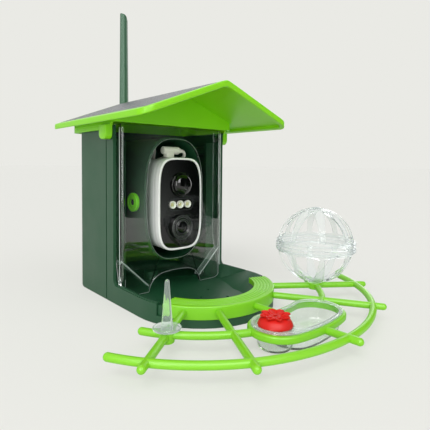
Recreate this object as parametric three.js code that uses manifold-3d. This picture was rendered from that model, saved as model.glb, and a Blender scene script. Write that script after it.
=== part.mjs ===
// A garden bird feeder with a built-in camera: a green seed house with a clear hopper front, a pitched
// lime roof with a solar panel, a camera in an oval pod, and a lime perch web that clips on the tray rim.
// Millimetres, +Z up, the front faces -Y. The origin is on the flat base, under the front opening.
import * as THREE from 'three';
import { mergeVertices } from 'three/addons/utils/BufferGeometryUtils.js';
import Module from 'manifold-3d';

const wasm = await Module();
wasm.setup();

// Driving dimensions
const gap = 0.3; // between pieces that seat on each other
const wall = 3; // housing walls and floor
const housingHalf = 70; // half the housing's width
const housingRear = 75.7;
const housingTop = 170;
const seamAt = 13.4; // where the front and rear shells meet
const rearCornerRadius = 9;

const trayRadius = housingHalf; // round front of the tray, in line with the housing's sides
const trayCentre = -48;
const trayShoulder = -8; // the bowl's sides start to close in here
const trayHeight = 18;
const bowlSlope = 10; // how far the bowl's floor stands in from the housing's sides
const bowlFloorHalf = housingHalf - bowlSlope;
const bowlFloorRadius = 44; // its round front
const rimStep = { depth: 0.9, width: 1.3 };

const windowSlack = 3; // between the pane's flanges and the housing's inner walls
const windowHalf = housingHalf - wall - windowSlack;
const windowFront = -5;
const windowSheet = 2.2;
const windowTop = 171.5;
const windowBottom = 4.6;
const windowCorner = 12; // lower corners, seen from the front
const windowFold = 4; // between the pane and its side flanges
const flangeDepth = 14;
const outletHalf = 33; // seed outlet arch
const outletTop = 22.6;
const deflector = { top: 38.4, bottom: 9.4, inner: 33, depth: 7, sheet: 1.8 };
const jambTop = 159;

const oval = { a: 35.5, b: 62.3, z: 97.4, power: 2.8 };
const podWall = 2;
const podRear = housingRear - wall - gap;

const camera = { a: 27.6, b: 47.7, z: 92.8, power: 4.2, front: -13.8, rear: 31 };
const bezelWidth = 2.4;
const bezelDepth = 6.15;
const faceAt = camera.front + 0.6;
const faceThickness = 2;
const midRingFront = camera.front + bezelDepth;
const midRingDepth = 3.9;
const caseFront = midRingFront + midRingDepth + gap;
const caseWall = 2;
const tiltAxis = { y: 15, z: 94.5 };
const dome = { z: 112.6, radius: 12.5, stem: 10.2, collar: 1.6, rise: 7.2 };
const ledRow = { z: 92.2, pitch: 9.6, radius: 4.1, margin: 1.6, count: 3 };
const lens = { z: 68.5, radius: 12.9, stem: 9.6, glass: 6.2, collar: 1.6, rise: 2.6 };
const sidePorts = { x: 12.3, z: 81, radius: 0.9 };
const cell = { radius: 9.2, length: 65, x: 9.5, y: 13.6, z: camera.z };
const board = { half: 17.5, bottom: 55, top: 132, thickness: 1.6, back: 1.25 };
const boardAt = caseFront + board.back;
const postInset = 12.7; // from the case's ends
const casePosts = {
  x: 14,
  z: [camera.z - camera.b + postInset, camera.z + camera.b - postInset],
  radius: 1.9,
};

const knobRadius = 9.6;
const knobThickness = 4;
const jambShare = 0.588; // of the room between a knob and the housing's side
const jambWidth = jambShare * (housingHalf - wall - oval.a - podWall - knobThickness);
const pivotShaft = 3;
const shaftInner = 20; // the knobs' shafts end here

const eaveReach = 17.5;
const roofHalf = housingHalf + eaveReach;
const roofFront = -83.3;
const roofRear = 106.1;
const ridgeTop = 210.3;
const roofPitch = 0.384; // fall per unit of width
const fasciaHeight = 5.8;
const roofSheet = 2.8;
const roofRim = 5;
const roofCorner = 12;
const ridgeRound = 4;
const collarWall = 2.6;
const collarGap = 0.8;
const collarBottom = 166.4;
const gableFront = -12;
const gableBottom = 172.5;
const ear = { y0: 0, y1: 15, bottom: 157, proud: 4.2, radius: 4 };
const roofPivot = { y: 7.5, z: 163 };
const roofPin = 2;
const panelBorder = 5.5;
const panelSheet = 1.2;

const perchTurn = 1.5; // degrees; the ring can sit turned on the round rim
const ringWidth = 19;
const ringOuter = trayRadius + 0.5;
const ringInner = ringOuter - ringWidth;
const ringTop = 18.3;
const ringBottom = 7.1;
const ringPlate = 2.7;
const ringEnd = 68; // degrees either side of straight ahead
const rodAngles = [-53.2, -29.5, 0, 29.5, 53.2];
const rodRadius = 2.9;
const rodHeight = 13.1;
const innerArc = 114.5;
const outerArc = 157;
const rodTail = 11.3; // the rods run on past the outer arc
const rodReach = outerArc + rodTail;
const innerArcEnd = 63;
const outerArcEnd = 65;

const cupRadius = 117.5; // middle of the bean-shaped cup, from the ring's centre
const cupSpread = 12; // degrees from its middle to each end's centre
const cupHalf = 18.9;
const cupSheet = 1.6;
const cupBottom = 0.8;
const cupLeft = 5; // degrees to the left end of the deep tray
const cupRim = { half: 20.9, bottom: 16.7, top: 18.2 };
const loop = { inner: 19.5, outer: 23.2, bottom: 11, top: 16.4 };
const well = { angle: -14, reach: cupRadius + 1, radius: 13, collar: 0.8, top: 16.4 }; // holds the flower

const ball = { radius: 37.2, sheet: 1.8, z: 54.4, ribs: 8, ribWidth: 5, band: 39, bandHeight: 4.8 };
const ballBoss = { radius: 7.4, top: 16.2, stub: 5 };
const spike = { dish: 10.4, dishTop: 18, base: 4.3, tip: 52.6, stub: 2.6, boss: 6.2, bossBottom: 7.5 };
const spikeSeat = 16.1;

const antenna = { x: 3.5, y: 113, z: 128, tip: 321, boltRadius: 3.2 };
const screwRadius = 1.6;
const screwHead = 3;
const screwAcross = housingHalf - 10;
const screwRows = [12.5, 150];
const shellScrews = screwRows.flatMap((z) => [[-screwAcross, z], [screwAcross, z]]);
const podScrews = [[-18, 70], [18, 70], [-18, 138], [18, 138]];
const screwDeck = 22; // depth of the rear shell's screw wells
const rearPad = { half: 42, bottom: 22, top: 62, depth: 8.3 };
const strap = { bottom: 27, top: 57, near: 1.2, far: 6.4 };
const insert = { y: 45, radius: 4.7, bore: 3.1, height: 9.4 };

// Solids: three.js makes every form, and a closed geometry becomes a solid that can be cut and joined
const far = 400;
const mergeDistance = 1e-4;
const simplifyBy = 0.06;

function toSolid(geometry) {
  const bare = geometry.index ? geometry.toNonIndexed() : geometry.clone();
  for (const name of Object.keys(bare.attributes)) if (name !== 'position') bare.deleteAttribute(name);
  const merged = mergeVertices(bare, mergeDistance);
  const corners = merged.index.array;
  const kept = [];
  for (let i = 0; i < corners.length; i += 3) {
    const [a, b, c] = [corners[i], corners[i + 1], corners[i + 2]];
    if (a !== b && b !== c && c !== a) kept.push(a, b, c);
  }
  const vertProperties = merged.attributes.position.array;
  return new wasm.Manifold(new wasm.Mesh({ numProp: 3, vertProperties, triVerts: new Uint32Array(kept) }));
}

function toGeometry(solid) {
  const mesh = solid.asOriginal().simplify(simplifyBy).getMesh();
  const geometry = new THREE.BufferGeometry();
  geometry.setAttribute('position', new THREE.BufferAttribute(mesh.vertProperties, 3));
  geometry.setIndex(new THREE.BufferAttribute(mesh.triVerts, 1));
  geometry.computeVertexNormals();
  return geometry;
}

const joined = (first, ...others) => others.reduce((all, solid) => all.add(solid), first);
const less = (first, ...others) => others.reduce((all, solid) => all.subtract(solid), first);

function box(x0, x1, y0, y1, z0, z1) {
  const block = new THREE.BoxGeometry(x1 - x0, y1 - y0, z1 - z0);
  return toSolid(block.translate((x0 + x1) / 2, (y0 + y1) / 2, (z0 + z1) / 2));
}

// Turns a geometry made along Y or Z so that it runs along the named axis.
const alongFromY = {
  x: (g) => g.rotateZ(-Math.PI / 2),
  y: (g) => g,
  z: (g) => g.rotateX(Math.PI / 2),
};

// A round bar or cone along an axis from one place to another; centre holds its two other coordinates.
function bar(axis, from, to, centre, radius, endRadius = radius, sides = 16) {
  const middle = (from + to) / 2;
  const geometry = alongFromY[axis](new THREE.CylinderGeometry(endRadius, radius, to - from, sides));
  const [p, q] = centre;
  const place = { x: [middle, p, q], y: [p, middle, q], z: [p, q, middle] }[axis];
  return toSolid(geometry.translate(...place));
}

const shapeOf = (points) => new THREE.Shape(points.map(([a, b]) => new THREE.Vector2(a, b)));

// An outline carried along an axis: along z it is drawn in x and y, along y in x and z, along x in y and z.
function extrude(axis, outline, from, to) {
  const shape = Array.isArray(outline) ? shapeOf(outline) : outline;
  const settings = { depth: to - from, bevelEnabled: false, curveSegments: 8 };
  const geometry = new THREE.ExtrudeGeometry(shape, settings);
  if (axis === 'z') geometry.translate(0, 0, from);
  if (axis === 'y') geometry.rotateX(Math.PI / 2).translate(0, to, 0);
  if (axis === 'x') {
    const cycle = new THREE.Matrix4().set(0, 0, 1, from, 1, 0, 0, 0, 0, 1, 0, 0, 0, 0, 0, 1);
    geometry.applyMatrix4(cycle);
  }
  return toSolid(geometry);
}

// A closed profile of [radius, height] points turned round the Z axis.
function lathe(profile, sides = 32) {
  const points = profile.map(([r, h]) => new THREE.Vector2(r, h));
  if (THREE.ShapeUtils.area(points) < 0) points.reverse();
  const touchesAxis = points.some((p) => p.x === 0);
  const closedAtAxis = () => points[0].x === 0 && points[points.length - 1].x === 0;
  while (touchesAxis && !closedAtAxis()) points.push(points.shift());
  if (!touchesAxis) points.push(points[0].clone());
  return toSolid(new THREE.LatheGeometry(points, sides).rotateX(Math.PI / 2));
}

// The same, round an axis that runs forward (-Y) from the camera's face: heights grow towards the front.
const latheForward = (profile, x, z, sides) => lathe(profile, sides).rotate([90, 0, 0]).translate([x, 0, z]);

// A skin over rings with equal point counts, closed by a fan at each end.
function loft(rings) {
  const count = rings[0].length;
  const positions = rings.flat(2);
  const triangles = [];
  for (let r = 0; r + 1 < rings.length; r += 1) {
    for (let i = 0; i < count; i += 1) {
      const a = r * count + i;
      const b = r * count + ((i + 1) % count);
      triangles.push(a, b, a + count, b, b + count, a + count);
    }
  }
  for (const [start, turn] of [[0, 0], [(rings.length - 1) * count, 1]]) {
    const middle = [0, 1, 2].map((k) => {
      let sum = 0;
      for (let i = 0; i < count; i += 1) sum += positions[(start + i) * 3 + k];
      return sum / count;
    });
    const hub = positions.length / 3;
    positions.push(...middle);
    for (let i = 0; i < count; i += 1) {
      const pair = [start + i, start + ((i + 1) % count)];
      if (turn) triangles.push(pair[0], pair[1], hub);
      else triangles.push(pair[1], pair[0], hub);
    }
  }
  const geometry = new THREE.BufferGeometry();
  geometry.setAttribute('position', new THREE.Float32BufferAttribute(positions, 3));
  geometry.setIndex(triangles);
  const solid = toSolid(geometry);
  if (solid.volume() > 0) return solid;
  geometry.setIndex([...triangles].reverse());
  return toSolid(geometry);
}

const radians = THREE.MathUtils.degToRad;
const mirrored = (solid) => solid.mirror([1, 0, 0]);
const onBothSides = (solid) => joined(solid, mirrored(solid));

function roundedRect(x0, x1, y0, y1, radii, steps = 4) {
  const [r0, r1, r2, r3] = radii;
  const corners = [[x0 + r0, y0 + r0, r0, 180], [x1 - r1, y0 + r1, r1, 270], [x1 - r2, y1 - r2, r2, 0],
    [x0 + r3, y1 - r3, r3, 90]];
  return corners.flatMap(([x, y, r, start]) => {
    if (r === 0) return [[x, y]];
    return Array.from({ length: steps + 1 }, (_, i) => {
      const turn = radians(start + (90 * i) / steps);
      return [x + r * Math.cos(turn), y + r * Math.sin(turn)];
    });
  });
}

// A superellipse, the rounded upright outline that the pod and the camera share.
function ovalPoints(a, b, power, z, count = 24) {
  return Array.from({ length: count }, (_, i) => {
    const t = (2 * Math.PI * i) / count;
    const [c, s] = [Math.cos(t), Math.sin(t)];
    return [a * Math.sign(c) * Math.abs(c) ** (2 / power), z + b * Math.sign(s) * Math.abs(s) ** (2 / power)];
  });
}

// Housing shells
const sideProfile = (inset) => {
  const radius = rearCornerRadius - inset;
  return roundedRect(-inset - 1, housingRear - inset, inset, housingTop + inset, [0, radius, 0, 0]);
};

function housingBlock(inset, y0, y1) {
  const half = housingHalf - inset;
  const body = extrude('x', sideProfile(inset), -half, half);
  const radius = 5 - inset;
  const outline = roundedRect(-half, half, y0, housingRear - inset, [0, 0, radius, radius]);
  const plan = extrude('z', outline, -1, far);
  return body.intersect(plan).intersect(box(-far, far, y0, y1, -1, far));
}

function rearShell() {
  const start = seamAt + gap / 2;
  let shell = housingBlock(0, start, housingRear);
  shell = less(shell, housingBlock(wall, start - 1, housingRear - wall));
  const reveal = less(box(-far, far, start - 1, start + 1.4, -1, far),
    box(-housingHalf + 0.8, housingHalf - 0.8, start - 2, start + 2, 0.8, far));
  shell = less(shell, reveal);
  for (const [x, z] of shellScrews) {
    const side = Math.sign(x);
    const outside = side * (housingHalf - wall + 0.5);
    const rib = box(Math.min(x, outside), Math.max(x, outside), start, housingRear - 1, z - 1.5, z + 1.5);
    shell = joined(shell, bar('y', start, housingRear - 1, [x, z], 5.2, 5.2, 10), rib);
    shell = less(shell, bar('y', screwDeck, housingRear + 1, [x, z], screwHead + 0.5, screwHead + 0.5, 10),
      bar('y', start - 1, screwDeck + 1, [x, z], screwRadius + gap, screwRadius + gap, 8));
  }
  const backWall = housingRear - wall - 2;
  for (const [x, z] of podScrews) {
    shell = less(shell, bar('y', backWall, housingRear + 1, [x, z], screwRadius + gap, screwRadius + gap, 8));
  }
  const padRear = housingRear + rearPad.depth;
  const padOutline = roundedRect(-rearPad.half, rearPad.half, rearPad.bottom, rearPad.top, [5, 5, 5, 5]);
  shell = joined(shell, extrude('y', padOutline, housingRear - 1, padRear));
  shell = less(shell,
    box(-far, far, housingRear + strap.near, housingRear + strap.far, strap.bottom, strap.top));
  const bolt = antenna.boltRadius + gap;
  shell = less(shell, bar('y', backWall, housingRear + 1, [antenna.x, antenna.z], bolt, bolt, 12));
  const boss = bar('z', wall - 1, insert.height + gap + 2, [0, insert.y], insert.radius + 3.3);
  const socket = bar('z', -1, insert.height + 2 * gap, [0, insert.y], insert.radius + gap);
  return less(joined(shell, boss), socket);
}

// The tray's outline: straight sides from the housing, then a round front.
function trayPoints(rearHalf, radius, rearY, steps = 24) {
  const round = Array.from({ length: steps + 1 }, (_, i) => {
    const turn = Math.PI + (Math.PI * i) / steps;
    return [radius * Math.cos(turn), trayCentre + radius * Math.sin(turn)];
  });
  const shoulder = (half) => (rearY > 0 ? [[half, trayShoulder]] : []);
  return [[-rearHalf, rearY], ...shoulder(-rearHalf), ...round, ...shoulder(rearHalf), [rearHalf, rearY]];
}

function sector(endAngle, z0, z1) {
  const steps = 8;
  const rim = Array.from({ length: steps + 1 }, (_, i) => {
    const turn = radians(-endAngle + (2 * endAngle * i) / steps);
    return [far * Math.sin(turn), -far * Math.cos(turn)];
  });
  return extrude('z', [[0, 0], ...rim], z0, z1);
}

function frontShell() {
  const end = seamAt - gap / 2;
  const trayWall = wall;
  const frame = less(box(-housingHalf, housingHalf, 0, end, 0, housingTop),
    box(-housingHalf + wall, housingHalf - wall, -1, end + 1, wall, far));
  const tray = extrude('z', trayPoints(housingHalf, trayRadius, end), 0, trayHeight);
  const atHeight = (points, z) => points.map(([x, y]) => [x, y, z]);
  const over = (trayHeight + 2 - wall) / (trayHeight - wall);
  const lerp = (a, b) => a + (b - a) * over;
  const mouthHalf = lerp(bowlFloorHalf, housingHalf - trayWall);
  const mouthRadius = lerp(bowlFloorRadius, trayRadius - trayWall);
  const bowl = loft([
    atHeight(trayPoints(bowlFloorHalf, bowlFloorRadius, end + 1), wall),
    atHeight(trayPoints(mouthHalf, mouthRadius, end + 1), trayHeight + 2),
  ]);
  let shell = less(joined(frame, tray), bowl);
  const stepCut = less(extrude('z', trayPoints(housingHalf + 1, trayRadius + 1, -0.01), 0, 1),
    extrude('z', trayPoints(housingHalf - rimStep.width, trayRadius - rimStep.width, 1), -1, 2));
  shell = less(shell, stepCut.translate([0, 0, trayHeight - rimStep.depth]));
  const seatInner = trayRadius - wall + 0.9;
  const seatOuter = ringOuter + 10;
  const seat = lathe([[seatInner, ringBottom - gap], [seatOuter, ringBottom - gap], [seatOuter, 40],
    [ringInner - 2, 40], [ringInner - 2, ringTop - ringPlate - gap],
    [seatInner, ringTop - ringPlate - gap]], 48);
  shell = less(shell, seat.intersect(sector(ringEnd + 4, 0, 30)).translate([0, trayCentre, 0]));
  const fillet = Array.from({ length: 5 }, (_, i) => {
    const turn = radians((90 * i) / 4);
    return [-5 * (1 - Math.sin(turn)), trayHeight - rimStep.depth + 5 * (1 - Math.cos(turn))];
  });
  const gusset = extrude('x', [[0.5, trayHeight - 2], [-5, trayHeight - 2], ...fillet, [0.5, trayHeight + 4]],
    housingHalf - wall, housingHalf);
  shell = joined(shell, onBothSides(gusset));
  const jambFront = windowFront + flangeDepth + gap;
  const inside = housingHalf - wall;
  const jamb = box(inside - jambWidth, inside + 0.5, jambFront, end, wall - 1, jambTop);
  shell = joined(shell, onBothSides(jamb));
  for (const [x, z] of shellScrews) {
    shell = less(shell, bar('y', jambFront + 0.9, end + 1, [x, z], screwRadius + gap, screwRadius + gap, 8));
  }
  const pinHole = bar('x', windowHalf - 4, far, [roofPivot.y, roofPivot.z], roofPin + gap, roofPin + gap, 12);
  shell = less(shell, pinHole, mirrored(pinHole));
  for (const [x, y] of [[-22, -32], [22, -32], [-22, -62], [22, -62], [0, -84], [0, -47]]) {
    shell = less(shell, bar('z', -1, wall + 1, [x, y], 1.7, 1.7, 8));
  }
  return shell;
}

// The hopper's clear front: a pane with folded side flanges, an oval opening and a seed outlet
function hopperWindow() {
  const rear = windowFront + flangeDepth;
  const inner = windowHalf - windowSheet;
  const sheet = less(
    extrude('z', roundedRect(-windowHalf, windowHalf, windowFront, rear, [windowFold, windowFold, 0, 0]),
      windowBottom, windowTop),
    extrude('z', roundedRect(-inner, inner, windowFront + windowSheet, rear + 1, [1.8, 1.8, 0, 0]), 0, far),
  );
  const corners = [windowCorner, windowCorner, 3, 3];
  const front = roundedRect(-windowHalf, windowHalf, windowBottom, windowTop, corners, 6);
  let pane = sheet.intersect(extrude('y', front, -far, far));
  const behind = windowFront + windowSheet + 0.6;
  const tip = 16.6;
  const flangeCut = extrude('x',
    [[behind, 0], [far, 0], [far, 52], [rear, 52], [6.8, 41], [0, tip], [behind, 30]],
    -far, far);
  pane = less(pane, flangeCut);
  pane = less(pane, extrude('y', ovalPoints(oval.a, oval.b, oval.power, oval.z), -far, 0));
  const arch = new THREE.Shape();
  arch.moveTo(-outletHalf, 0);
  arch.lineTo(-outletHalf, windowBottom + 1);
  arch.quadraticCurveTo(-outletHalf + 3, outletTop - 3, -15, outletTop - 0.8);
  arch.quadraticCurveTo(0, outletTop + 0.8, 15, outletTop - 0.8);
  arch.quadraticCurveTo(outletHalf - 3, outletTop - 3, outletHalf, windowBottom + 1);
  arch.lineTo(outletHalf, 0);
  pane = less(pane, extrude('y', arch, -far, far));
  const { top, bottom, inner: foot, depth, sheet: thick } = deflector;
  const reach = windowHalf - 0.6;
  const high = thick * 1.4;
  const slope = [[foot, bottom], [reach, top], [reach, top + high], [foot, bottom + high]];
  const strip = extrude('y', slope, windowFront + 0.5, windowFront + windowSheet + depth);
  return joined(pane, onBothSides(strip));
}

// The oval pod that carries the camera, closed at the back
function cameraPod() {
  const front = windowFront + windowSheet + gap;
  const rear = podRear;
  const outline = (extra) => ovalPoints(oval.a + extra, oval.b + extra, oval.power, oval.z);
  let pod = extrude('y', outline(podWall), front, rear);
  pod = less(pod, extrude('y', outline(0), front - 1, rear - 2.5));
  const pivotBoss = bar('x', camera.a + gap + 0.2, oval.a + 1, [tiltAxis.y, tiltAxis.z], 6, 6, 14);
  pod = joined(pod, onBothSides(pivotBoss));
  const shaftHole = bar('x', shaftInner, far, [tiltAxis.y, tiltAxis.z], pivotShaft + gap, pivotShaft + gap, 12);
  pod = less(pod, shaftHole, mirrored(shaftHole));
  for (const [x, z] of podScrews) {
    pod = joined(pod, bar('y', rear - 14, rear - 1, [x, z], 4.2, 4.2, 8));
    pod = less(pod, bar('y', rear - 12, rear + 1, [x, z], screwRadius + gap, screwRadius + gap, 8));
  }
  return less(pod, bar('z', oval.z, far, [grommet.x, grommet.y], grommet.neck + gap));
}

// Camera
const cameraRing = (y, inset) => ovalPoints(camera.a - inset, camera.b - inset, camera.power, camera.z)
  .map(([x, z]) => [x, y, z]);
const cameraPrism = (inset, y0, y1) => loft([cameraRing(y0, inset), cameraRing(y1, inset)]);

function cameraBezel() {
  const { front } = camera;
  const skin = loft([cameraRing(front, 1.5), cameraRing(front + 0.5, 0.6), cameraRing(front + 1.6, 0),
    cameraRing(midRingFront - gap, 0)]);
  return less(skin, cameraPrism(bezelWidth, front - 1, midRingFront + 1));
}

function cameraFace() {
  const rear = faceAt + faceThickness;
  let face = cameraPrism(bezelWidth + gap, faceAt, rear);
  face = less(face, bar('y', faceAt - 1, rear + 1, [0, dome.z], dome.stem + gap, dome.stem + gap));
  face = less(face, bar('y', faceAt - 1, rear + 1, [0, lens.z], lens.stem + gap, lens.stem + gap));
  const half = ledRow.pitch + ledRow.radius + ledRow.margin;
  const high = ledRow.radius + ledRow.margin;
  const corner = high - 0.01;
  const pill = roundedRect(-half, half, ledRow.z - high, ledRow.z + high, [corner, corner, corner, corner]);
  face = less(face, extrude('y', pill, faceAt - 1, faceAt + 0.8));
  const ledHole = ledRow.radius + gap;
  for (const x of ledPlaces()) {
    face = less(face, bar('y', faceAt - 1, rear + 1, [x, ledRow.z], ledHole, ledHole, 12));
  }
  for (const side of [-1, 1]) {
    face = less(face, bar('y', faceAt - 1, rear + 1, [side * sidePorts.x, sidePorts.z], sidePorts.radius,
      sidePorts.radius, 8));
  }
  return face;
}

const ledPlaces = () => {
  const { count, pitch } = ledRow;
  return Array.from({ length: count }, (_, i) => (i - (count - 1) / 2) * pitch);
};

function cameraMidRing() {
  const shelf = faceAt + faceThickness + gap;
  const band = loft([cameraRing(midRingFront, 0.7), cameraRing(midRingFront + 0.6, 0.2),
    cameraRing(caseFront - gap - 0.6, 0.2), cameraRing(caseFront - gap, 0.9)]);
  const collar = cameraPrism(bezelWidth + gap, shelf, midRingFront + 1);
  return less(joined(band, collar), cameraPrism(bezelWidth + 2.4, shelf - 1, caseFront));
}

function cameraRearCase() {
  const { rear } = camera;
  const skin = loft([cameraRing(caseFront, 0.9), cameraRing(caseFront + 0.6, 0.3), cameraRing(rear - 13, 0.8),
    cameraRing(rear - 6, 2.4), cameraRing(rear - 2, 5.4), cameraRing(rear, 9.5)]);
  const hollow = loft([cameraRing(caseFront - 1, 0.3 + caseWall), cameraRing(rear - 13, 0.8 + caseWall),
    cameraRing(rear - 6, 2.6 + caseWall), cameraRing(rear - caseWall, 7 + caseWall)]);
  let shell = less(skin, hollow);
  for (const x of [-casePosts.x, casePosts.x]) {
    for (const z of casePosts.z) {
      const { radius } = casePosts;
      shell = joined(shell, bar('y', boardAt + board.thickness + gap, rear - 1.4, [x, z], radius, radius, 8));
    }
  }
  const rest = cell.y + cell.radius + gap;
  for (const z of [cell.z - 22, cell.z + 22]) {
    shell = joined(shell, box(-13, 13, rest, rear - 1, z - 1.2, z + 1.2));
  }
  const bore = bar('x', shaftInner - 2, far, [tiltAxis.y, tiltAxis.z], pivotShaft + gap, pivotShaft + gap, 12);
  shell = less(shell, bore, mirrored(bore));
  return less(shell, bar('z', 130, far, [plug.x, plug.y], plug.stub + gap, plug.stub + gap, 12));
}

function motionDome() {
  const seatY = -(faceAt - gap);
  const { radius, stem, collar, rise } = dome;
  const steps = 4;
  const cap = Array.from({ length: steps + 1 }, (_, i) => {
    const turn = radians((90 * i) / steps);
    const out = i === steps ? 0 : radius * Math.cos(turn) * 0.94;
    return [out, seatY + collar + 1 + (rise - 1) * Math.sin(turn)];
  });
  const inner = -(faceAt + faceThickness + 0.5);
  const foot = [[0, inner + 1.4], [stem - 1.4, inner + 1.4], [stem - 1.4, inner], [stem, inner], [stem, seatY]];
  return latheForward([...foot, [radius, seatY], [radius, seatY + collar + 0.8], ...cap], 0, dome.z, 16);
}

function ledLens(x) {
  const seatY = -(faceAt + 0.8);
  const r = ledRow.radius;
  return latheForward([[0, seatY - 1.5], [r, seatY - 1.5], [r, seatY + 0.4], [r * 0.86, seatY + 1.3],
    [r * 0.5, seatY + 1.9], [0, seatY + 2.1]], x, ledRow.z, 12);
}

function lensBarrel() {
  const seatY = -(faceAt - gap);
  const { radius, stem, glass, collar } = lens;
  const inner = -(faceAt + faceThickness + 0.5);
  const top = seatY + collar;
  return latheForward([[stem, inner], [stem, seatY], [radius, seatY], [radius, top + 1.2],
    [radius - 0.9, top + 2], [radius - 2.6, top + 2], [radius - 3.2, top + 1.2], [glass + 2, top + 1.2],
    [glass + 1.6, top + 2.3], [glass + gap, top + 2.3], [glass + gap, inner]], 0, lens.z, 16);
}

function lensGlass() {
  const { glass, collar, rise } = lens;
  const top = -(faceAt - gap) + collar;
  const inner = -(faceAt + faceThickness + 0.5);
  return latheForward([[0, inner], [glass, inner], [glass, top + 1.2], [glass * 0.86, top + rise - 0.6],
    [glass * 0.5, top + rise - 0.1], [0, top + rise]], 0, lens.z, 16);
}

// Charging plug and lead
const plug = { x: -1.9, y: 6, z: 148.4, radius: 4.15, left: -10.2, right: 10, relief: 13, stub: 2.2 };
const leadRadius = 1.8;
const grommet = { x: 5, y: 45, neck: 3.2, flange: 4.6 };

function chargePlug() {
  const { x, y, z, radius, left, right, relief, stub } = plug;
  const barrel = joined(bar('x', left + 0.8, right, [y, z], radius, radius, 14),
    bar('x', left, left + 0.8, [y, z], radius - 0.8, radius, 14));
  const top = camera.z + camera.b;
  const neck = extrude('z', roundedRect(x - 5.2, x + 5.2, y - 3.6, y + 3.6, [2, 2, 2, 2]), top + gap, z);
  const pin = bar('z', top - 6, top + 2, [x, y], stub, stub, 12);
  const sleeve = bar('x', right - 0.5, relief, [y, z], 3.3, leadRadius + 0.7, 12);
  return joined(barrel, neck, pin, sleeve);
}

const leadRoute = [
  [13.3, 6, 148.4], [16.4, 6.2, 147.9], [19.2, 7.2, 146], [21, 9.6, 143.2], [21.9, 13.6, 141], [22, 20, 140.4],
  [21, 28.5, 141], [18.6, 36.6, 141.6], [15.6, 43.6, 141], [12.2, 48.6, 138.6], [8.8, 50.6, 136.6],
  [6.4, 49.4, 138], [5.3, 46.6, 142.2], [5, 45.1, 148.5], [5, 45, 155.7],
];

function chargeLead() {
  const curve = new THREE.CatmullRomCurve3(leadRoute.map((p) => new THREE.Vector3(...p)));
  const section = new THREE.Shape();
  const sides = 8;
  for (let i = 0; i < sides; i += 1) {
    const turn = (2 * Math.PI * i) / sides;
    const corner = [leadRadius * Math.cos(turn), leadRadius * Math.sin(turn)];
    if (i === 0) section.moveTo(...corner);
    else section.lineTo(...corner);
  }
  return toSolid(new THREE.ExtrudeGeometry(section, { steps: 20, extrudePath: curve, bevelEnabled: false }));
}

function leadGrommet() {
  const ceiling = oval.z + oval.b;
  const bottom = leadRoute[leadRoute.length - 1][2] + gap;
  const { neck, flange } = grommet;
  const seat = ceiling - 1.4;
  const deck = ceiling + podWall + gap;
  const skin = lathe([[0, bottom], [flange, bottom], [flange, seat], [neck, seat], [neck, deck],
    [flange, deck], [flange - 1, deck + 2], [0, deck + 2]], 14);
  return skin.translate([grommet.x, grommet.y, 0]);
}

function tiltKnob() {
  const seat = oval.a + podWall + gap + 0.4;
  const outer = seat + knobThickness;
  const r = knobRadius;
  const profile = [[0, shaftInner], [pivotShaft, shaftInner], [pivotShaft, seat], [r - 1, seat], [r, seat + 1],
    [r, outer - 1], [r - 1, outer], [r - 2.6, outer], [r - 3.2, outer - 1.3], [3.4, outer - 1.3],
    [3, outer - 0.4], [1.6, outer - 0.4], [1.6, outer - 2.2], [0, outer - 2.2]];
  return lathe(profile, 14).rotate([0, 90, 0]).translate([0, tiltAxis.y, tiltAxis.z]);
}

// Roof
const slopeHeight = (x, drop) => ridgeTop - drop - roofPitch * Math.abs(x);

// The roof's section between two depths under its top surface, drawn in x and z.
function chevron(topDrop, bottomDrop, half = roofHalf) {
  const crown = ridgeRound * roofPitch * 0.5;
  const top = [[half, slopeHeight(half, topDrop)], [ridgeRound, slopeHeight(ridgeRound, topDrop)],
    [0, slopeHeight(0, topDrop) - crown], [-ridgeRound, slopeHeight(ridgeRound, topDrop)],
    [-half, slopeHeight(half, topDrop)]];
  const under = [[-half, slopeHeight(half, bottomDrop)], [0, slopeHeight(0, bottomDrop) - crown * 0.5],
    [half, slopeHeight(half, bottomDrop)]];
  return [...top, ...under].reverse();
}

function slab(topDrop, bottomDrop, y0, y1) {
  return extrude('y', chevron(topDrop, bottomDrop, roofHalf + 5), y0, y1);
}

const roofPlan = (inset, z0, z1) => {
  const corner = Math.max(roofCorner - inset, 1);
  const rearCorner = Math.max(5 - inset, 1);
  return extrude('z', roundedRect(-roofHalf + inset, roofHalf - inset, roofFront + inset, roofRear - inset,
    [corner, corner, rearCorner, rearCorner], 5), z0, z1);
};

const panelBox = (slack) => box(-roofHalf + panelBorder - slack, -panelBorder - 2 + slack,
  roofFront + panelBorder + 1 - slack, roofRear - panelBorder - 1 + slack, 100, 300);

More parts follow.
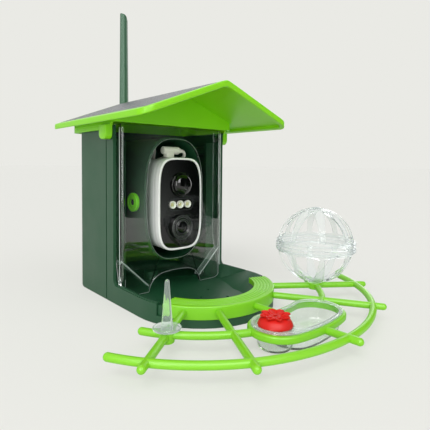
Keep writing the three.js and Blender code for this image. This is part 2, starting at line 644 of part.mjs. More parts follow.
function roofShell() {
  const low = 100;
  const high = 300;
  let roof = slab(0, fasciaHeight, roofFront - 1, roofRear + 1).intersect(roofPlan(0, low, high));
  roof = less(roof, slab(roofSheet, 20, roofFront, roofRear).intersect(roofPlan(roofRim, low, high)));
  roof = less(roof, slab(-2, panelSheet + gap, roofFront, roofRear).intersect(panelBox(gap)));
  const inside = housingHalf + collarGap;
  const outside = inside + collarWall;
  const rearInside = housingRear + collarGap;
  const outerLine = roundedRect(-outside, outside, gableFront, rearInside + collarWall, [6, 6, 6, 6]);
  const innerLine = roundedRect(-inside, inside, gableFront + collarWall, rearInside, [3.4, 3.4, 3.4, 3.4]);
  const collar = less(
    extrude('z', outerLine, collarBottom, high),
    extrude('z', innerLine, low, high + 1),
    box(-far, far, -far, -0.2, low, gableBottom),
  );
  roof = joined(roof, collar.intersect(slab(roofSheet - 0.5, far / 4, roofFront, roofRear)));
  const earCorners = [ear.radius, ear.radius, 0, 0];
  const earOutline = roundedRect(ear.y0, ear.y1, ear.bottom, collarBottom + 4, earCorners);
  const lug = extrude('x', earOutline, inside, outside + ear.proud);
  roof = joined(roof, onBothSides(lug));
  const holeEnd = outside + ear.proud - 1.1;
  const holeRadius = roofPin + gap;
  const pivotHole = bar('x', inside - 10, holeEnd, [roofPivot.y, roofPivot.z], holeRadius, holeRadius, 12);
  return less(roof, pivotHole, mirrored(pivotHole));
}

const solarPanel = () => slab(-0.1, panelSheet - 0.1, roofFront, roofRear).intersect(panelBox(0));

function panelJunction() {
  return slab(roofSheet + gap, 11, roofFront, roofRear).intersect(box(-58, -34, 26, 48, 100, 300));
}

function roofPinSolid() {
  const { y, z } = roofPivot;
  const outer = housingHalf + collarGap + collarWall + ear.proud - 1.5;
  return joined(bar('x', windowHalf + 0.5, windowHalf + windowSlack - 0.4, [y, z], 3, 3, 12),
    bar('x', windowHalf + 2, outer, [y, z], roofPin, roofPin, 12));
}

// Perch web, in a frame whose Z axis is the centre of the tray's round front
const ahead = (angle, radius) => [radius * Math.sin(radians(angle)), -radius * Math.cos(radians(angle))];

class FlatArc extends THREE.Curve {
  constructor(radius, from, to, height) {
    super();
    Object.assign(this, { radius, from, to, height });
  }

  getPoint(t) {
    return new THREE.Vector3(...ahead(this.from + (this.to - this.from) * t, this.radius), this.height);
  }
}

function arcBar(radius, from, to, roundStart, roundEnd) {
  const section = new THREE.Shape();
  const sides = 8;
  for (let i = 0; i < sides; i += 1) {
    const turn = (2 * Math.PI * (i + 0.5)) / sides;
    const corner = [rodRadius * Math.cos(turn), rodRadius * Math.sin(turn)];
    if (i === 0) section.moveTo(...corner);
    else section.lineTo(...corner);
  }
  const steps = Math.ceil(Math.abs(to - from) / 11);
  const path = new FlatArc(radius, from, to, rodHeight);
  let solid = toSolid(new THREE.ExtrudeGeometry(section, { steps, extrudePath: path, bevelEnabled: false }));
  for (const [angle, round] of [[from, roundStart], [to, roundEnd]]) {
    if (!round) continue;
    const [x, y] = ahead(angle, radius);
    solid = solid.add(toSolid(new THREE.SphereGeometry(rodRadius, 8, 4).translate(x, y, rodHeight)));
  }
  return solid;
}

function radialBar(angle, from, to) {
  const capsule = new THREE.CapsuleGeometry(rodRadius, to - from - 2 * rodRadius, 2, 8);
  capsule.translate(0, -(from + to) / 2, 0).rotateZ(radians(angle)).translate(0, 0, rodHeight);
  return toSolid(capsule);
}

// The bean outline of the cup: a band round the ring's centre with round ends.
function beanPoints(half, left, steps = 5) {
  const points = [];
  const push = (angle, radius) => points.push(ahead(angle, radius));
  const span = left + cupSpread;
  for (let i = 0; i <= steps; i += 1) push(-left + (span * i) / steps, cupRadius + half);
  const cap = (end) => {
    const [cx, cy] = ahead(end, cupRadius);
    for (let i = 1; i < steps; i += 1) {
      const turn = radians(end - 90 + (end > 0 ? 0 : 180) + (180 * i) / steps);
      points.push([cx + half * Math.cos(turn), cy + half * Math.sin(turn)]);
    }
  };
  cap(cupSpread);
  for (let i = 0; i <= steps; i += 1) push(cupSpread - (span * i) / steps, cupRadius - half);
  cap(-left);
  return points;
}

function bean(sections, left = cupSpread) {
  return loft(sections.map(([half, z]) => beanPoints(half, left).map(([x, y]) => [x, y, z])));
}

function perchRing() {
  const ridges = 2;
  const from = ringOuter - 2.4;
  const pitch = (from - ringInner - 1.6) / ridges;
  const crest = Array.from({ length: ridges }, (_, i) => {
    const r = from - i * pitch;
    return [[r, ringTop], [r - pitch * 0.6, ringTop], [r - pitch * 0.8, ringTop - 0.6]];
  }).flat();
  const plateUnder = ringTop - ringPlate;
  const innerWall = trayRadius - wall + 0.9 + gap;
  return lathe([[innerWall, ringBottom], [ringOuter, ringBottom], [ringOuter, ringTop - 1.4],
    [ringOuter - 1.2, ringTop - 0.2], ...crest, [ringInner + 0.9, ringTop], [ringInner, ringTop - 0.9],
    [ringInner, 12.6], [ringInner + 1.8, 12.6], [ringInner + 1.8, plateUnder],
    [innerWall, plateUnder]], 36).intersect(sector(ringEnd, 0, 30));
}

function perchWeb() {
  let web = perchRing();
  for (const angle of rodAngles) web = web.add(radialBar(angle, trayRadius - wall + 1.4 + gap, rodReach));
  web = web.add(arcBar(outerArc, -outerArcEnd, outerArcEnd, true, true));
  const loopEnd = cupSpread + 10;
  web = web.add(arcBar(innerArc, -innerArcEnd, -loopEnd, true, false));
  web = web.add(arcBar(innerArc, loopEnd, innerArcEnd, false, true));
  const { inner, outer, bottom, top } = loop;
  web = web.add(bean([[outer - 1.2, bottom], [outer, bottom + 1.2], [outer, top - 1.2], [outer - 1.2, top]]));
  web = less(web, bean([[inner, -1], [inner, 40]]));
  const ballPlace = ahead(rodAngles[4], innerArc);
  const spikePlace = ahead(rodAngles[0], innerArc);
  const ballBottom = rodHeight - rodRadius - 0.4;
  web = joined(web, bar('z', ballBottom, ballBoss.top, ballPlace, ballBoss.radius - 0.6, ballBoss.radius, 14),
    bar('z', spike.bossBottom, spikeSeat, spikePlace, spike.boss - 0.8, spike.boss, 14));
  return less(web, bar('z', ballBoss.top - 4, far, ballPlace, ballBoss.stub + gap, ballBoss.stub + gap, 12),
    bar('z', spike.bossBottom + 1.4, far, spikePlace, spike.stub + gap, spike.stub + gap, 10));
}

// A deep tray with a round well at its left end, both under one flange
function nectarCup() {
  const half = cupHalf;
  const { half: edge, bottom, top } = cupRim;
  const floor = cupBottom + cupSheet;
  const rise = (top - floor) / (bottom - cupBottom);
  const tray = bean([[half - 2.2, cupBottom], [half - 1, cupBottom + 1.2], [half, bottom + 0.5]], cupLeft);
  const flange = bean([[edge - 0.5, bottom], [edge, bottom + 0.5], [edge, top - 0.5], [edge - 0.5, top]]);
  const cavity = bean([[half - 1.2 - cupSheet, floor], [half - cupSheet + 0.2 * rise, top + 0.5]], cupLeft);
  const round = (radius, z0, z1) => bar('z', z0, z1, ahead(well.angle, well.reach), radius, radius, 20);
  const cup = joined(less(tray.add(flange), cavity), round(well.radius, cupBottom, well.top),
    round(well.radius + well.collar, well.top - 2, bottom + 0.6));
  return less(cup, round(well.radius - cupSheet, floor, far), round(well.radius + gap, well.top, far));
}

// Red flower cap: a domed feeding port with a crown of petals
function flowerCap() {
  const petals = 8;
  const seat = well.top + gap;
  const r = well.radius;
  const body = lathe([[0, seat], [r, seat], [r, seat + 0.8], [r - 0.7, seat + 3], [r - 2, seat + 5.4],
    [r - 4.6, seat + 7], [4, seat + 7.4], [0, seat + 7.4]], 16);
  let cap = body;
  for (let i = 0; i < petals; i += 1) {
    const leaf = toSolid(new THREE.SphereGeometry(1, 8, 3).scale(4.6, 3.4, 1));
    const lifted = leaf.rotate([0, -14, 0]).translate([7, 0, seat + 7.9]);
    cap = cap.add(lifted.rotate([0, 0, (360 * (i + 0.3)) / petals]));
  }
  cap = less(cap, bar('z', seat - 1, far, [0, 0], 1.6, 1.6, 8));
  return cap.translate([...ahead(well.angle, well.reach), 0]);
}

function fruitSpike() {
  const flutes = 4;
  const count = 12;
  const tipStart = spike.tip - 2.4;
  const fluted = (z, radius, depth) => Array.from({ length: count }, (_, i) => {
    const turn = (2 * Math.PI * i) / count;
    const r = radius * (1 - depth * (0.5 - 0.5 * Math.cos(flutes * turn)));
    return [r * Math.cos(turn), r * Math.sin(turn), z];
  });
  const at = (share) => spike.dishTop - 1 + (tipStart - spike.dishTop + 1) * share;
  const { base, tip, dish: edge } = spike;
  const horn = loft([
    fluted(at(0), base, 0.14),
    fluted(at(0.25), base * 0.87, 0.2),
    fluted(at(0.6), base * 0.69, 0.2),
    fluted(at(0.88), base * 0.55, 0.14),
    fluted(tipStart, base * 0.5, 0.06),
    fluted(tip - 0.6, base * 0.32, 0),
    fluted(tip, base * 0.08, 0),
  ]);
  const seat = spikeSeat + gap;
  const dish = lathe([[0, seat], [4.6, seat], [edge - 0.6, seat + 0.6], [edge, seat + 1.6],
    [edge - 0.7, seat + 2.2], [edge - 1.8, seat + 1.7], [6, seat + 1.2], [0, seat + 1.2]], 16);
  const stub = bar('z', spike.bossBottom + 2.4, seat + 0.5, [0, 0], spike.stub, spike.stub, 10);
  return joined(dish, horn, stub).translate([...ahead(rodAngles[0], innerArc), 0]);
}

// The suet ball: two slotted half spheres that close on a band
function ballShell() {
  const { radius, sheet, ribs, ribWidth, band, bandHeight } = ball;
  const steps = 4;
  const arcPoints = (r, top) => Array.from({ length: steps + 1 }, (_, i) => {
    const turn = radians((90 * i) / steps);
    return [i === steps ? 0 : r * Math.cos(turn), top && i === steps ? r : r * Math.sin(turn)];
  });
  const start = gap / 2;
  const outer = arcPoints(radius, true);
  const inner = arcPoints(radius - sheet, true);
  outer[0][1] = start;
  inner[0][1] = start;
  const sides = 16;
  let half = lathe([...outer, ...inner.reverse()], sides);
  half = half.add(lathe([[radius - sheet - 0.4, start], [band, start], [band, start + bandHeight - 0.8],
    [band - 0.8, start + bandHeight], [radius - sheet - 0.2, start + bandHeight]], sides));
  const slotFoot = start + bandHeight + 1.2;
  const slotTop = radius * 0.925;
  const levels = 2;
  const halfWidth = (h) => Math.max((Math.PI / ribs) * Math.sqrt(radius ** 2 - h ** 2) - ribWidth / 2, 0.5);
  const side = Array.from({ length: levels + 1 }, (_, i) => {
    const h = slotFoot + ((slotTop - slotFoot) * i) / levels;
    return [i === levels ? 0.6 : halfWidth(h), h];
  });
  const outline = [...side, ...side.map(([w, h]) => [-w, h]).reverse()];
  const slot = extrude('y', outline, -far / 4, -4);
  for (let i = 0; i < ribs; i += 1) half = half.subtract(slot.rotate([0, 0, (360 * (i + 0.5)) / ribs]));
  for (let i = 0; i < 4; i += 1) {
    const lug = box(-3, 3, band - 0.6, band + 1.2, start + 0.8, start + bandHeight - 1);
    half = half.add(lug.rotate([0, 0, 90 * i + 20]));
  }
  return half;
}

function ballUpper() {
  const knob = bar('z', ball.radius - 1, ball.radius + 0.9, [0, 0], 4.2, 3.6, 12);
  return ballShell().add(knob).translate([...ahead(rodAngles[4], innerArc), ball.z]);
}

function ballLower() {
  const shell = ballShell().rotate([180, 0, 0]).translate([0, 0, ball.z]);
  const disc = bar('z', ballBoss.top + gap, ball.z - ball.radius + 1.4, [0, 0], 6.6, 7.4, 14);
  const stub = bar('z', ballBoss.top - 3.6, ballBoss.top + 1, [0, 0], ballBoss.stub, ballBoss.stub, 12);
  return joined(shell, disc, stub).translate([...ahead(rodAngles[4], innerArc), 0]);
}

// Folding antenna on the back of the housing
function antennaSocket() {
  const { x, z, boltRadius } = antenna;
  const nut = toSolid(new THREE.CylinderGeometry(6.4, 6.4, 3, 6).translate(x, housingRear + gap + 1.5, z));
  const bolt = bar('y', housingRear - wall + gap, housingRear + 10, [x, z], boltRadius, boltRadius, 12);
  return joined(nut, bolt);
}

function antennaSleeve() {
  const { x, z, boltRadius } = antenna;
  const start = housingRear + gap + 3 + gap;
  const ribs = 9;
  let sleeve = bar('y', start, start + 13, [x, z], 5.6, 5.6, 18);
  for (let i = 0; i < ribs; i += 1) {
    const groove = bar('y', start + 1.5, start + 11, [0, 6], 0.7, 0.7, 4);
    sleeve = sleeve.subtract(groove.rotate([0, (360 * i) / ribs, 0]).translate([x, 0, z]));
  }
  const hole = boltRadius + gap;
  return less(sleeve, bar('y', start - 1, housingRear + 10 + gap, [x, z], hole, hole, 12));
}

function antennaKnuckle() {
  const { x, y, z } = antenna;
  const start = housingRear + 2 * gap + 16 + gap;
  const neck = bar('y', start, y - 7.4, [x, z], 5.8, 6, 14);
  const disc = bar('x', 3, 6, [y, z], 6.4, 6.4, 14);
  const cheek = disc.add(box(3, 6, y - 8, y, z - 5, z + 5)).translate([x, 0, 0]);
  const opposite = mirrored(cheek.translate([-x, 0, 0])).translate([x, 0, 0]);
  const pinHole = bar('x', -20, 30, [y, z], 1.6 + gap, 1.6 + gap, 10);
  return less(joined(neck, cheek, opposite), pinHole);
}

const antennaPin = () => bar('x', antenna.x - 5.8, antenna.x + 5.8, [antenna.y, antenna.z], 1.6, 1.6, 10);

function antennaBlade() {
  const { x, y, z, tip } = antenna;
  const section = (height, wide, deep) => {
    const [a, b, c] = [wide / 2, deep / 2, 0.32];
    const ring = [[a, b * c], [a * c, b], [-a * c, b], [-a, b * c], [-a, -b * c], [-a * c, -b], [a * c, -b],
      [a, -b * c]];
    return ring.map(([px, py]) => [x + px, y + py, height]);
  };
  const blade = loft([section(z + 7.2, 11, 9.6), section(z + 10, 12.4, 10.2), section(z + 81, 10.8, 9.4),
    section(tip, 9, 7.4)]);
  const slopeLine = [[x - 4.6, tip + 0.2], [x - 0.6, tip - 1.4], [x + 2.6, tip - 4.2], [x + 4.8, tip - 8.5],
    [x + 20, tip - 9], [x + 20, tip + 20], [x - 4.6, tip + 20]];
  const slope = extrude('y', slopeLine, y - 20, y + 20);
  const eye = bar('x', x - 2.7, x + 2.7, [y, z], 5.8, 5.8, 14);
  const tongue = joined(eye, box(x - 2.7, x + 2.7, y - 4.4, y + 4.4, z, z + 8));
  const pinHole = bar('x', -20, 30, [y, z], 1.6 + gap, 1.6 + gap, 10);
  return less(joined(less(blade, slope), tongue), pinHole);
}

function pivotedScrew(x, z, headAt, tipAt, round) {
  const head = bar('y', headAt, headAt + 2.4, [x, z], screwHead, round ? screwHead - 1 : screwHead, 8);
  const shank = bar('y', tipAt, headAt + 0.5, [x, z], screwRadius, screwRadius, 6);
  return joined(head, shank);
}

// Materials
function plastic(color, roughness = 0.45) {
  return new THREE.MeshStandardMaterial({ color, roughness, metalness: 0 });
}

const metal = (color) => new THREE.MeshStandardMaterial({ color, roughness: 0.35, metalness: 1 });
const clearOf = (color) => new THREE.MeshStandardMaterial({
  color, roughness: 0.08, metalness: 0, transparent: true, opacity: 0.35,
});
const green = plastic(0x35503c);
const lime = plastic(0x7fd020, 0.35);
const clear = clearOf(0xe6efec);
const white = plastic(0xe9e9e7, 0.3);
const grey = plastic(0xb9bbb8);
const black = plastic(0x0b0c0d, 0.1);
const red = plastic(0xee3a34, 0.4);
const cream = plastic(0xe6e2d2, 0.5);
const rubber = plastic(0x1b1c1c, 0.8);
const panel = plastic(0x3a3d42, 0.15);
const laminate = plastic(0x1f5b34, 0.5);
const brass = metal(0xc9a24d);
const steel = metal(0xb9bcc0);

// The assembly
const feeder = new THREE.Group();
const place = (parent, name, solid, material) => {
  const mesh = new THREE.Mesh(toGeometry(solid), material);
  mesh.name = name;
  parent.add(mesh);
};

place(feeder, 'rear_shell', rearShell(), green);
place(feeder, 'front_shell', frontShell(), green);
place(feeder, 'hopper_window', hopperWindow(), clear);
place(feeder, 'camera_pod', cameraPod(), green);
place(feeder, 'lead_grommet', leadGrommet(), rubber);
place(feeder, 'charge_lead', chargeLead(), cream);
const insertSolid = less(bar('z', gap, insert.height, [0, insert.y], insert.radius),
  bar('z', -1, 20, [0, insert.y], insert.bore));
place(feeder, 'base_insert', insertSolid, brass);
shellScrews.forEach(([x, z], i) => {
  place(feeder, `shell_screw_${i + 1}`, pivotedScrew(x, z, screwDeck + gap, 10.8, false), steel);
});
podScrews.forEach(([x, z], i) => {
  place(feeder, `pod_screw_${i + 1}`, pivotedScrew(x, z, housingRear + gap, podRear - 10.4, true), steel);
});
place(feeder, 'antenna_socket', antennaSocket(), brass);

place(feeder, 'roof_shell', roofShell(), lime);
place(feeder, 'solar_panel', solarPanel(), panel);
place(feeder, 'panel_junction', panelJunction(), rubber);
place(feeder, 'roof_pin_right', roofPinSolid(), steel);
place(feeder, 'roof_pin_left', mirrored(roofPinSolid()), steel);

place(feeder, 'camera_bezel', cameraBezel(), white);
place(feeder, 'camera_face', cameraFace(), black);
place(feeder, 'camera_mid_ring', cameraMidRing(), grey);
place(feeder, 'camera_rear_case', cameraRearCase(), grey);
place(feeder, 'motion_dome', motionDome(), black);
ledPlaces().forEach((x, i) => place(feeder, `led_lens_${i + 1}`, ledLens(x), clear));
place(feeder, 'lens_barrel', lensBarrel(), black);
place(feeder, 'lens_glass', lensGlass(), black);
const partsFront = faceAt + faceThickness + 0.8;
const boardSolid = box(-board.half, board.half, boardAt, boardAt + board.thickness, board.bottom, board.top);
place(feeder, 'main_board', boardSolid, laminate);
place(feeder, 'motion_sensor', bar('y', partsFront + 1.5, boardAt - gap, [0, dome.z], 4.6, 4.6, 12), steel);
place(feeder, 'image_sensor', box(-8, 8, partsFront, boardAt - gap, lens.z - 8, lens.z + 8), black);
const ledBoardHalf = ledRow.pitch + ledRow.radius + gap;
const ledBoard = box(-ledBoardHalf, ledBoardHalf, partsFront, partsFront + 1.2, ledRow.z - 4, ledRow.z + 4);
place(feeder, 'led_board', ledBoard, laminate);
for (const [i, x] of [-cell.x, cell.x].entries()) {
  const ends = [cell.z - cell.length / 2, cell.z + cell.length / 2];
  const body = bar('z', ...ends, [x, cell.y], cell.radius, cell.radius, 14);
  place(feeder, `battery_cell_${i + 1}`, body, steel);
}
place(feeder, 'charge_plug', chargePlug(), cream);
place(feeder, 'tilt_knob_right', tiltKnob(), lime);
place(feeder, 'tilt_knob_left', mirrored(tiltKnob()), lime);

place(feeder, 'antenna_sleeve', antennaSleeve(), brass);
place(feeder, 'antenna_knuckle', antennaKnuckle(), green);
place(feeder, 'antenna_pin', antennaPin(), steel);
place(feeder, 'antenna_blade', antennaBlade(), green);

const perch = new THREE.Group();
perch.position.set(0, trayCentre, 0);
perch.rotation.z = radians(perchTurn);
feeder.add(perch);
place(perch, 'perch_web', perchWeb(), lime);
place(perch, 'nectar_cup', nectarCup(), clear);
place(perch, 'flower_cap', flowerCap(), red);
place(perch, 'fruit_spike', fruitSpike(), clear);
place(perch, 'ball_lower', ballLower(), clear);
place(perch, 'ball_upper', ballUpper(), clear);

export default feeder;
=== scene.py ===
# Garden bird feeder with a camera: dark green seed house, lime roof and perch web, clear plastic parts.
import math

import bmesh
import bpy
import numpy as np
from mathutils import Matrix, Vector


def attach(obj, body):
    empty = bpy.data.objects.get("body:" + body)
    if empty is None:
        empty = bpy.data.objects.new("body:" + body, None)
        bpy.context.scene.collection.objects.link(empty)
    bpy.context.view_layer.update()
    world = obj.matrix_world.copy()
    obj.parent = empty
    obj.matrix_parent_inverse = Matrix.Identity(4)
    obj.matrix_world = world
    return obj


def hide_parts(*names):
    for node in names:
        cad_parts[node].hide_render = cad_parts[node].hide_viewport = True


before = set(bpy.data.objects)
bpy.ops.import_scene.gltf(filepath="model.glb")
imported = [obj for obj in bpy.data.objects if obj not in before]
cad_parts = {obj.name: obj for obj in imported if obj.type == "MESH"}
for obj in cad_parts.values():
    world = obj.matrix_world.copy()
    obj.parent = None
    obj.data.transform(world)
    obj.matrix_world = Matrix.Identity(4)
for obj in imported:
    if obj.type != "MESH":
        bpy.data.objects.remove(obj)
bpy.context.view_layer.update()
mm = 0.001
print("frame loaded:", len(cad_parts), "nodes")


# An sRGB hex colour as linear light: c / 12.92 where dark, else ((c + 0.055) / 1.055)^2.4.
def colour(hexText):
    srgb = np.array([int(hexText[i : i + 2], 16) for i in (1, 3, 5)]) / 255
    linear = np.where(srgb <= 0.04045, srgb / 12.92, ((srgb + 0.055) / 1.055) ** 2.4)
    return (*linear.tolist(), 1.0)


# One shader node: a setting that is a socket, or a node for its first output, becomes a link; any other is typed in.
def addNode(tree, kind, settings=None):
    node = tree.nodes.new("ShaderNode" + kind)
    for key, value in (settings or {}).items():
        if isinstance(value, bpy.types.Node):
            value = value.outputs[0]
        if isinstance(value, bpy.types.NodeSocket):
            tree.links.new(value, node.inputs[key])
        elif isinstance(key, int) or key in node.inputs:
            node.inputs[key].default_value = value
        else:
            setattr(node, key, value)
    return node


# An empty material, its node tree and the socket with the object's own coordinates.
def startMaterial(name):
    material = bpy.data.materials.new(name)
    material.use_nodes = True
    tree = material.node_tree
    tree.nodes.clear()
    return material, tree, addNode(tree, "TexCoord").outputs["Object"]


def closeMaterial(material, shader):  # the last shader goes to the material's surface
    addNode(material.node_tree, "OutputMaterial", {"Surface": shader})
    return material


def linkObject(name, data):  # one new object in the scene
    made = bpy.data.objects.new(name, data)
    bpy.context.scene.collection.objects.link(made)
    return made


# A quadratic curve from a to c, pulled towards b: (1 - t)^2 a + 2 t (1 - t) b + t^2 c.
def bend(a, b, c, t):
    return (1 - t) ** 2 * a + 2 * t * (1 - t) * b + t**2 * c


# A polyline's inner corners become short curves: each is a quadratic curve between points one radius away from it,
# or just under half a side where the side is short.
def roundCorners(points, radius, steps=5, closed=False):
    p = np.asarray(points, float)
    r = np.broadcast_to(np.asarray(radius, float), (len(p),))
    toBefore, toAfter = np.roll(p, 1, axis=0) - p, np.roll(p, -1, axis=0) - p
    lenBefore, lenAfter = np.linalg.norm(toBefore, axis=1), np.linalg.norm(toAfter, axis=1)
    reach = np.minimum(r, 0.48 * np.minimum(lenBefore, lenAfter))
    a = p + toBefore * (reach / np.maximum(lenBefore, 1e-9))[:, None]
    b = p + toAfter * (reach / np.maximum(lenAfter, 1e-9))[:, None]
    curve = bend(a[:, None], p[:, None], b[:, None], np.linspace(0, 1, steps)[None, :, None])
    if not closed:
        curve[0], curve[-1] = p[0], p[-1]
    flat = curve.reshape(-1, p.shape[1])
    keep = np.ones(len(flat), bool)
    keep[1:] = np.linalg.norm(np.diff(flat, axis=0), axis=1) > 1e-6
    return flat[keep]


# A grid of points and how it closes: r joins its last row to the first, c its columns, f and l cap the end rows.
def patch(points, kind="sheet"):
    closing = {"sheet": "", "belt": "r", "tube": "c", "ring": "rc", "cup": "cf", "bar": "cfl"}[kind]
    return np.asarray(points, float), closing


# Quads between neighbouring rows and columns of a grid of points.
def gridFaces(rows, cols, closing, offset):
    i = np.arange(rows if "r" in closing else rows - 1)[:, None]
    j = np.arange(cols if "c" in closing else cols - 1)[None, :]
    i2, j2 = (i + 1) % rows, (j + 1) % cols
    quads = np.stack([i * cols + j, i * cols + j2, i2 * cols + j2, i2 * cols + j], -1)
    return (quads.reshape(-1, 4) + offset).tolist()


# Smooth faces with edges sharper than the angle kept.
def smoothPiece(name, mesh, smoothAngle):
    mesh.shade_smooth()
    mesh.set_sharp_from_angle(angle=math.radians(smoothAngle))
    return linkObject(name, mesh)


def dress(piece, body, finish):  # the finish, and the body the piece rides on
    piece.data.materials.clear()
    piece.data.materials.append(finish)
    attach(piece, body)


# One mesh from several patches in millimetres: doubles merged, faces turned outwards, sharp edges kept.
def addPiece(name, body, finish, patches, stands=None, smoothAngle=38, merge=0.004):
    verts, faces, offset = [], [], 0
    for points, closing in patches:
        rows, cols, _ = points.shape
        verts.append(points.reshape(-1, 3))
        faces += gridFaces(rows, cols, closing, offset)
        if "f" in closing:
            faces.append((np.arange(cols)[::-1] + offset).tolist())
        if "l" in closing:
            faces.append((np.arange(cols) + (rows - 1) * cols + offset).tolist())
        offset += rows * cols
    mesh = bpy.data.meshes.new(name)
    mesh.from_pydata((np.concatenate(verts) * mm).tolist(), [], faces)
    bm = bmesh.new()
    bm.from_mesh(mesh)
    bmesh.ops.remove_doubles(bm, verts=bm.verts, dist=merge * mm)
    bmesh.ops.dissolve_degenerate(bm, edges=bm.edges, dist=1e-7)
    bmesh.ops.recalc_face_normals(bm, faces=bm.faces)
    bm.to_mesh(mesh)
    bm.free()
    piece = smoothPiece(name, mesh, smoothAngle)
    dress(piece, body, finish)
    if stands:
        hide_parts(stands)
    return piece


# Small round edges where faces meet more sharply than the angle.
def softenEdges(piece, name, width, segments, angle, harden=False):
    bevel = piece.modifiers.new(name, "BEVEL")
    bevel.width, bevel.segments = width * mm, segments
    bevel.limit_method, bevel.angle_limit = "ANGLE", math.radians(angle)
    bevel.harden_normals = harden


# A merged copy of a CAD solid with its flats joined, so that small round edges can be put on it.
def roundedCopy(node, name, body, finish, edge, segments=2, smoothAngle=32):
    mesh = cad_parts[node].data.copy()
    mesh.name = name
    bm = bmesh.new()
    bm.from_mesh(mesh)
    bmesh.ops.remove_doubles(bm, verts=bm.verts, dist=1e-6)
    bmesh.ops.dissolve_limit(bm, angle_limit=math.radians(0.6), verts=bm.verts, edges=bm.edges)
    bm.to_mesh(mesh)
    bm.free()
    piece = smoothPiece(name, mesh, smoothAngle)
    softenEdges(piece, "round edges", edge, segments, smoothAngle, harden=True)
    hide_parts(node)
    dress(piece, body, finish)


# A profile of (radius, height) turned round an axis through centre: P = centre + r cos(t) a + r sin(t) b + h axis.
def turned(profile, centre, axis="z", sides=64, kind="tube"):
    prof = np.asarray(profile, float)
    t = np.radians(np.linspace(0, 360, sides, endpoint=False))
    a, b, n = {"x": ((0, 1, 0), (0, 0, 1), (1, 0, 0)), "-x": ((0, 0, 1), (0, 1, 0), (-1, 0, 0)),
               "-y": ((1, 0, 0), (0, 0, 1), (0, -1, 0)), "z": ((1, 0, 0), (0, 1, 0), (0, 0, 1))}[axis]
    ring = np.cos(t)[:, None] * np.array(a) + np.sin(t)[:, None] * np.array(b)
    skin = np.asarray(centre, float) + prof[:, None, :1] * ring[None] + prof[:, None, 1:] * np.array(n, float)
    return patch(skin, kind)


# The camera's and pod's rounded outline |x/a|^n + |z/b|^n = 1, drawn in with a profile of (inset, y).
def ovalSkin(profile, oval, kind="ring"):
    prof = np.asarray(profile, float)
    t = 2 * np.pi * np.arange(128) / 128
    c, s = np.cos(t), np.sin(t)
    x = (oval["a"] - prof[:, :1]) * np.sign(c) * np.abs(c) ** (2 / oval["power"])
    z = oval["z"] + (oval["b"] - prof[:, :1]) * np.sign(s) * np.abs(s) ** (2 / oval["power"])
    return patch(np.stack([x, np.broadcast_to(prof[:, 1:], x.shape), z], -1), kind)


# A round bar along a path of points: each ring stands square to the path, and round ends shrink as a half ball does.
def barAlong(path, radius, sides=16, roundEnds=(True, True)):
    p = np.asarray(path, float)
    tangent = np.gradient(p, axis=0)
    tangent /= np.linalg.norm(tangent, axis=1)[:, None]
    up = np.tile(np.array([0.0, 0.0, 1.0]), (len(p), 1))
    up[np.abs(tangent[:, 2]) > 0.9] = [0.0, 1.0, 0.0]
    side = np.cross(tangent, up)
    side /= np.linalg.norm(side, axis=1)[:, None]
    up = np.cross(side, tangent)
    halfBall = np.radians(np.linspace(0, 84, 7))
    head, tail = (halfBall if rounded else halfBall[:1] for rounded in roundEnds)
    at = np.concatenate([0 * head, np.arange(1, len(p) - 1), 0 * tail + len(p) - 1]).astype(int)
    turn = np.concatenate([-head[::-1], np.zeros(len(p) - 2), tail])
    t = 2 * np.pi * np.arange(sides) / sides
    middle = (p[at] + radius * np.sin(turn)[:, None] * tangent[at])[:, None]
    spokes = np.cos(t)[:, None] * side[at, None] + np.sin(t)[:, None] * up[at, None]
    return patch(middle + radius * np.cos(turn)[:, None, None] * spokes, "bar")


# A flat outline in x and z carried along y, or in x and y carried along z, drawn in by the edge at both ends.
def slab(outline, low, high, edge, along):
    p = np.asarray(outline, float)
    middle = p.mean(axis=0)
    size = np.linalg.norm(p - middle, axis=1)[None, :, None]
    inset = np.array([edge, 0, 0, edge])[:, None, None]
    flat = middle + (p - middle)[None] * (1 - inset / np.maximum(size, 1e-6))
    level = np.broadcast_to(np.array([low, low + edge, high - edge, high])[:, None], flat.shape[:2])
    order = (flat[..., 0], flat[..., 1], level) if along == "z" else (flat[..., 0], level, flat[..., 1])
    return patch(np.stack(order, -1), "bar")


# Mould grain is about 0.2 mm; it is drawn coarser to show. Thick walls shrink in slow waves a few centimetres wide.
plasticGrain = {"size": 0.9 * mm, "height": 0.05 * mm, "shrink": 34 * mm, "glossSwing": 0.12, "usual": [0.3, 0.7]}


# Injection-moulded ABS: a soft sheen broken by the mould's fine grain, and slow waves in gloss from shrinkage.
def mouldedPlastic(name, hexText, roughness=0.4, grain=0.25, tone=0.06, specular=0.5, ior=1.54):
    material, tree, where = startMaterial(name)
    fine = addNode(tree, "TexNoise", {"Vector": where, "Scale": 1 / plasticGrain["size"], "Detail": 2.0,
                                      "Roughness": 0.6})
    slow = addNode(tree, "TexNoise", {"Vector": where, "Scale": 1 / plasticGrain["shrink"], "Detail": 3.0})
    dark, light = ((*(min(1.0, v * k) for v in colour(hexText)[:3]), 1.0) for k in (1 - tone, 1 + tone))
    shade = addNode(tree, "Mix", {"data_type": "RGBA", 0: slow, 6: dark, 7: light})
    (low, high), swing = plasticGrain["usual"], plasticGrain["glossSwing"]
    gloss = addNode(tree, "MapRange", {"Value": slow, "From Min": low, "From Max": high,
                                       "To Min": roughness * (1 - swing), "To Max": roughness * (1 + swing)})
    bump = addNode(tree, "Bump", {"Height": fine, "Strength": grain, "Distance": plasticGrain["height"]})
    shader = addNode(tree, "BsdfPrincipled", {"Base Color": shade.outputs[2], "Roughness": gloss, "Normal": bump,
                                              "IOR": ior, "Specular IOR Level": specular})
    return closeMaterial(material, shader)


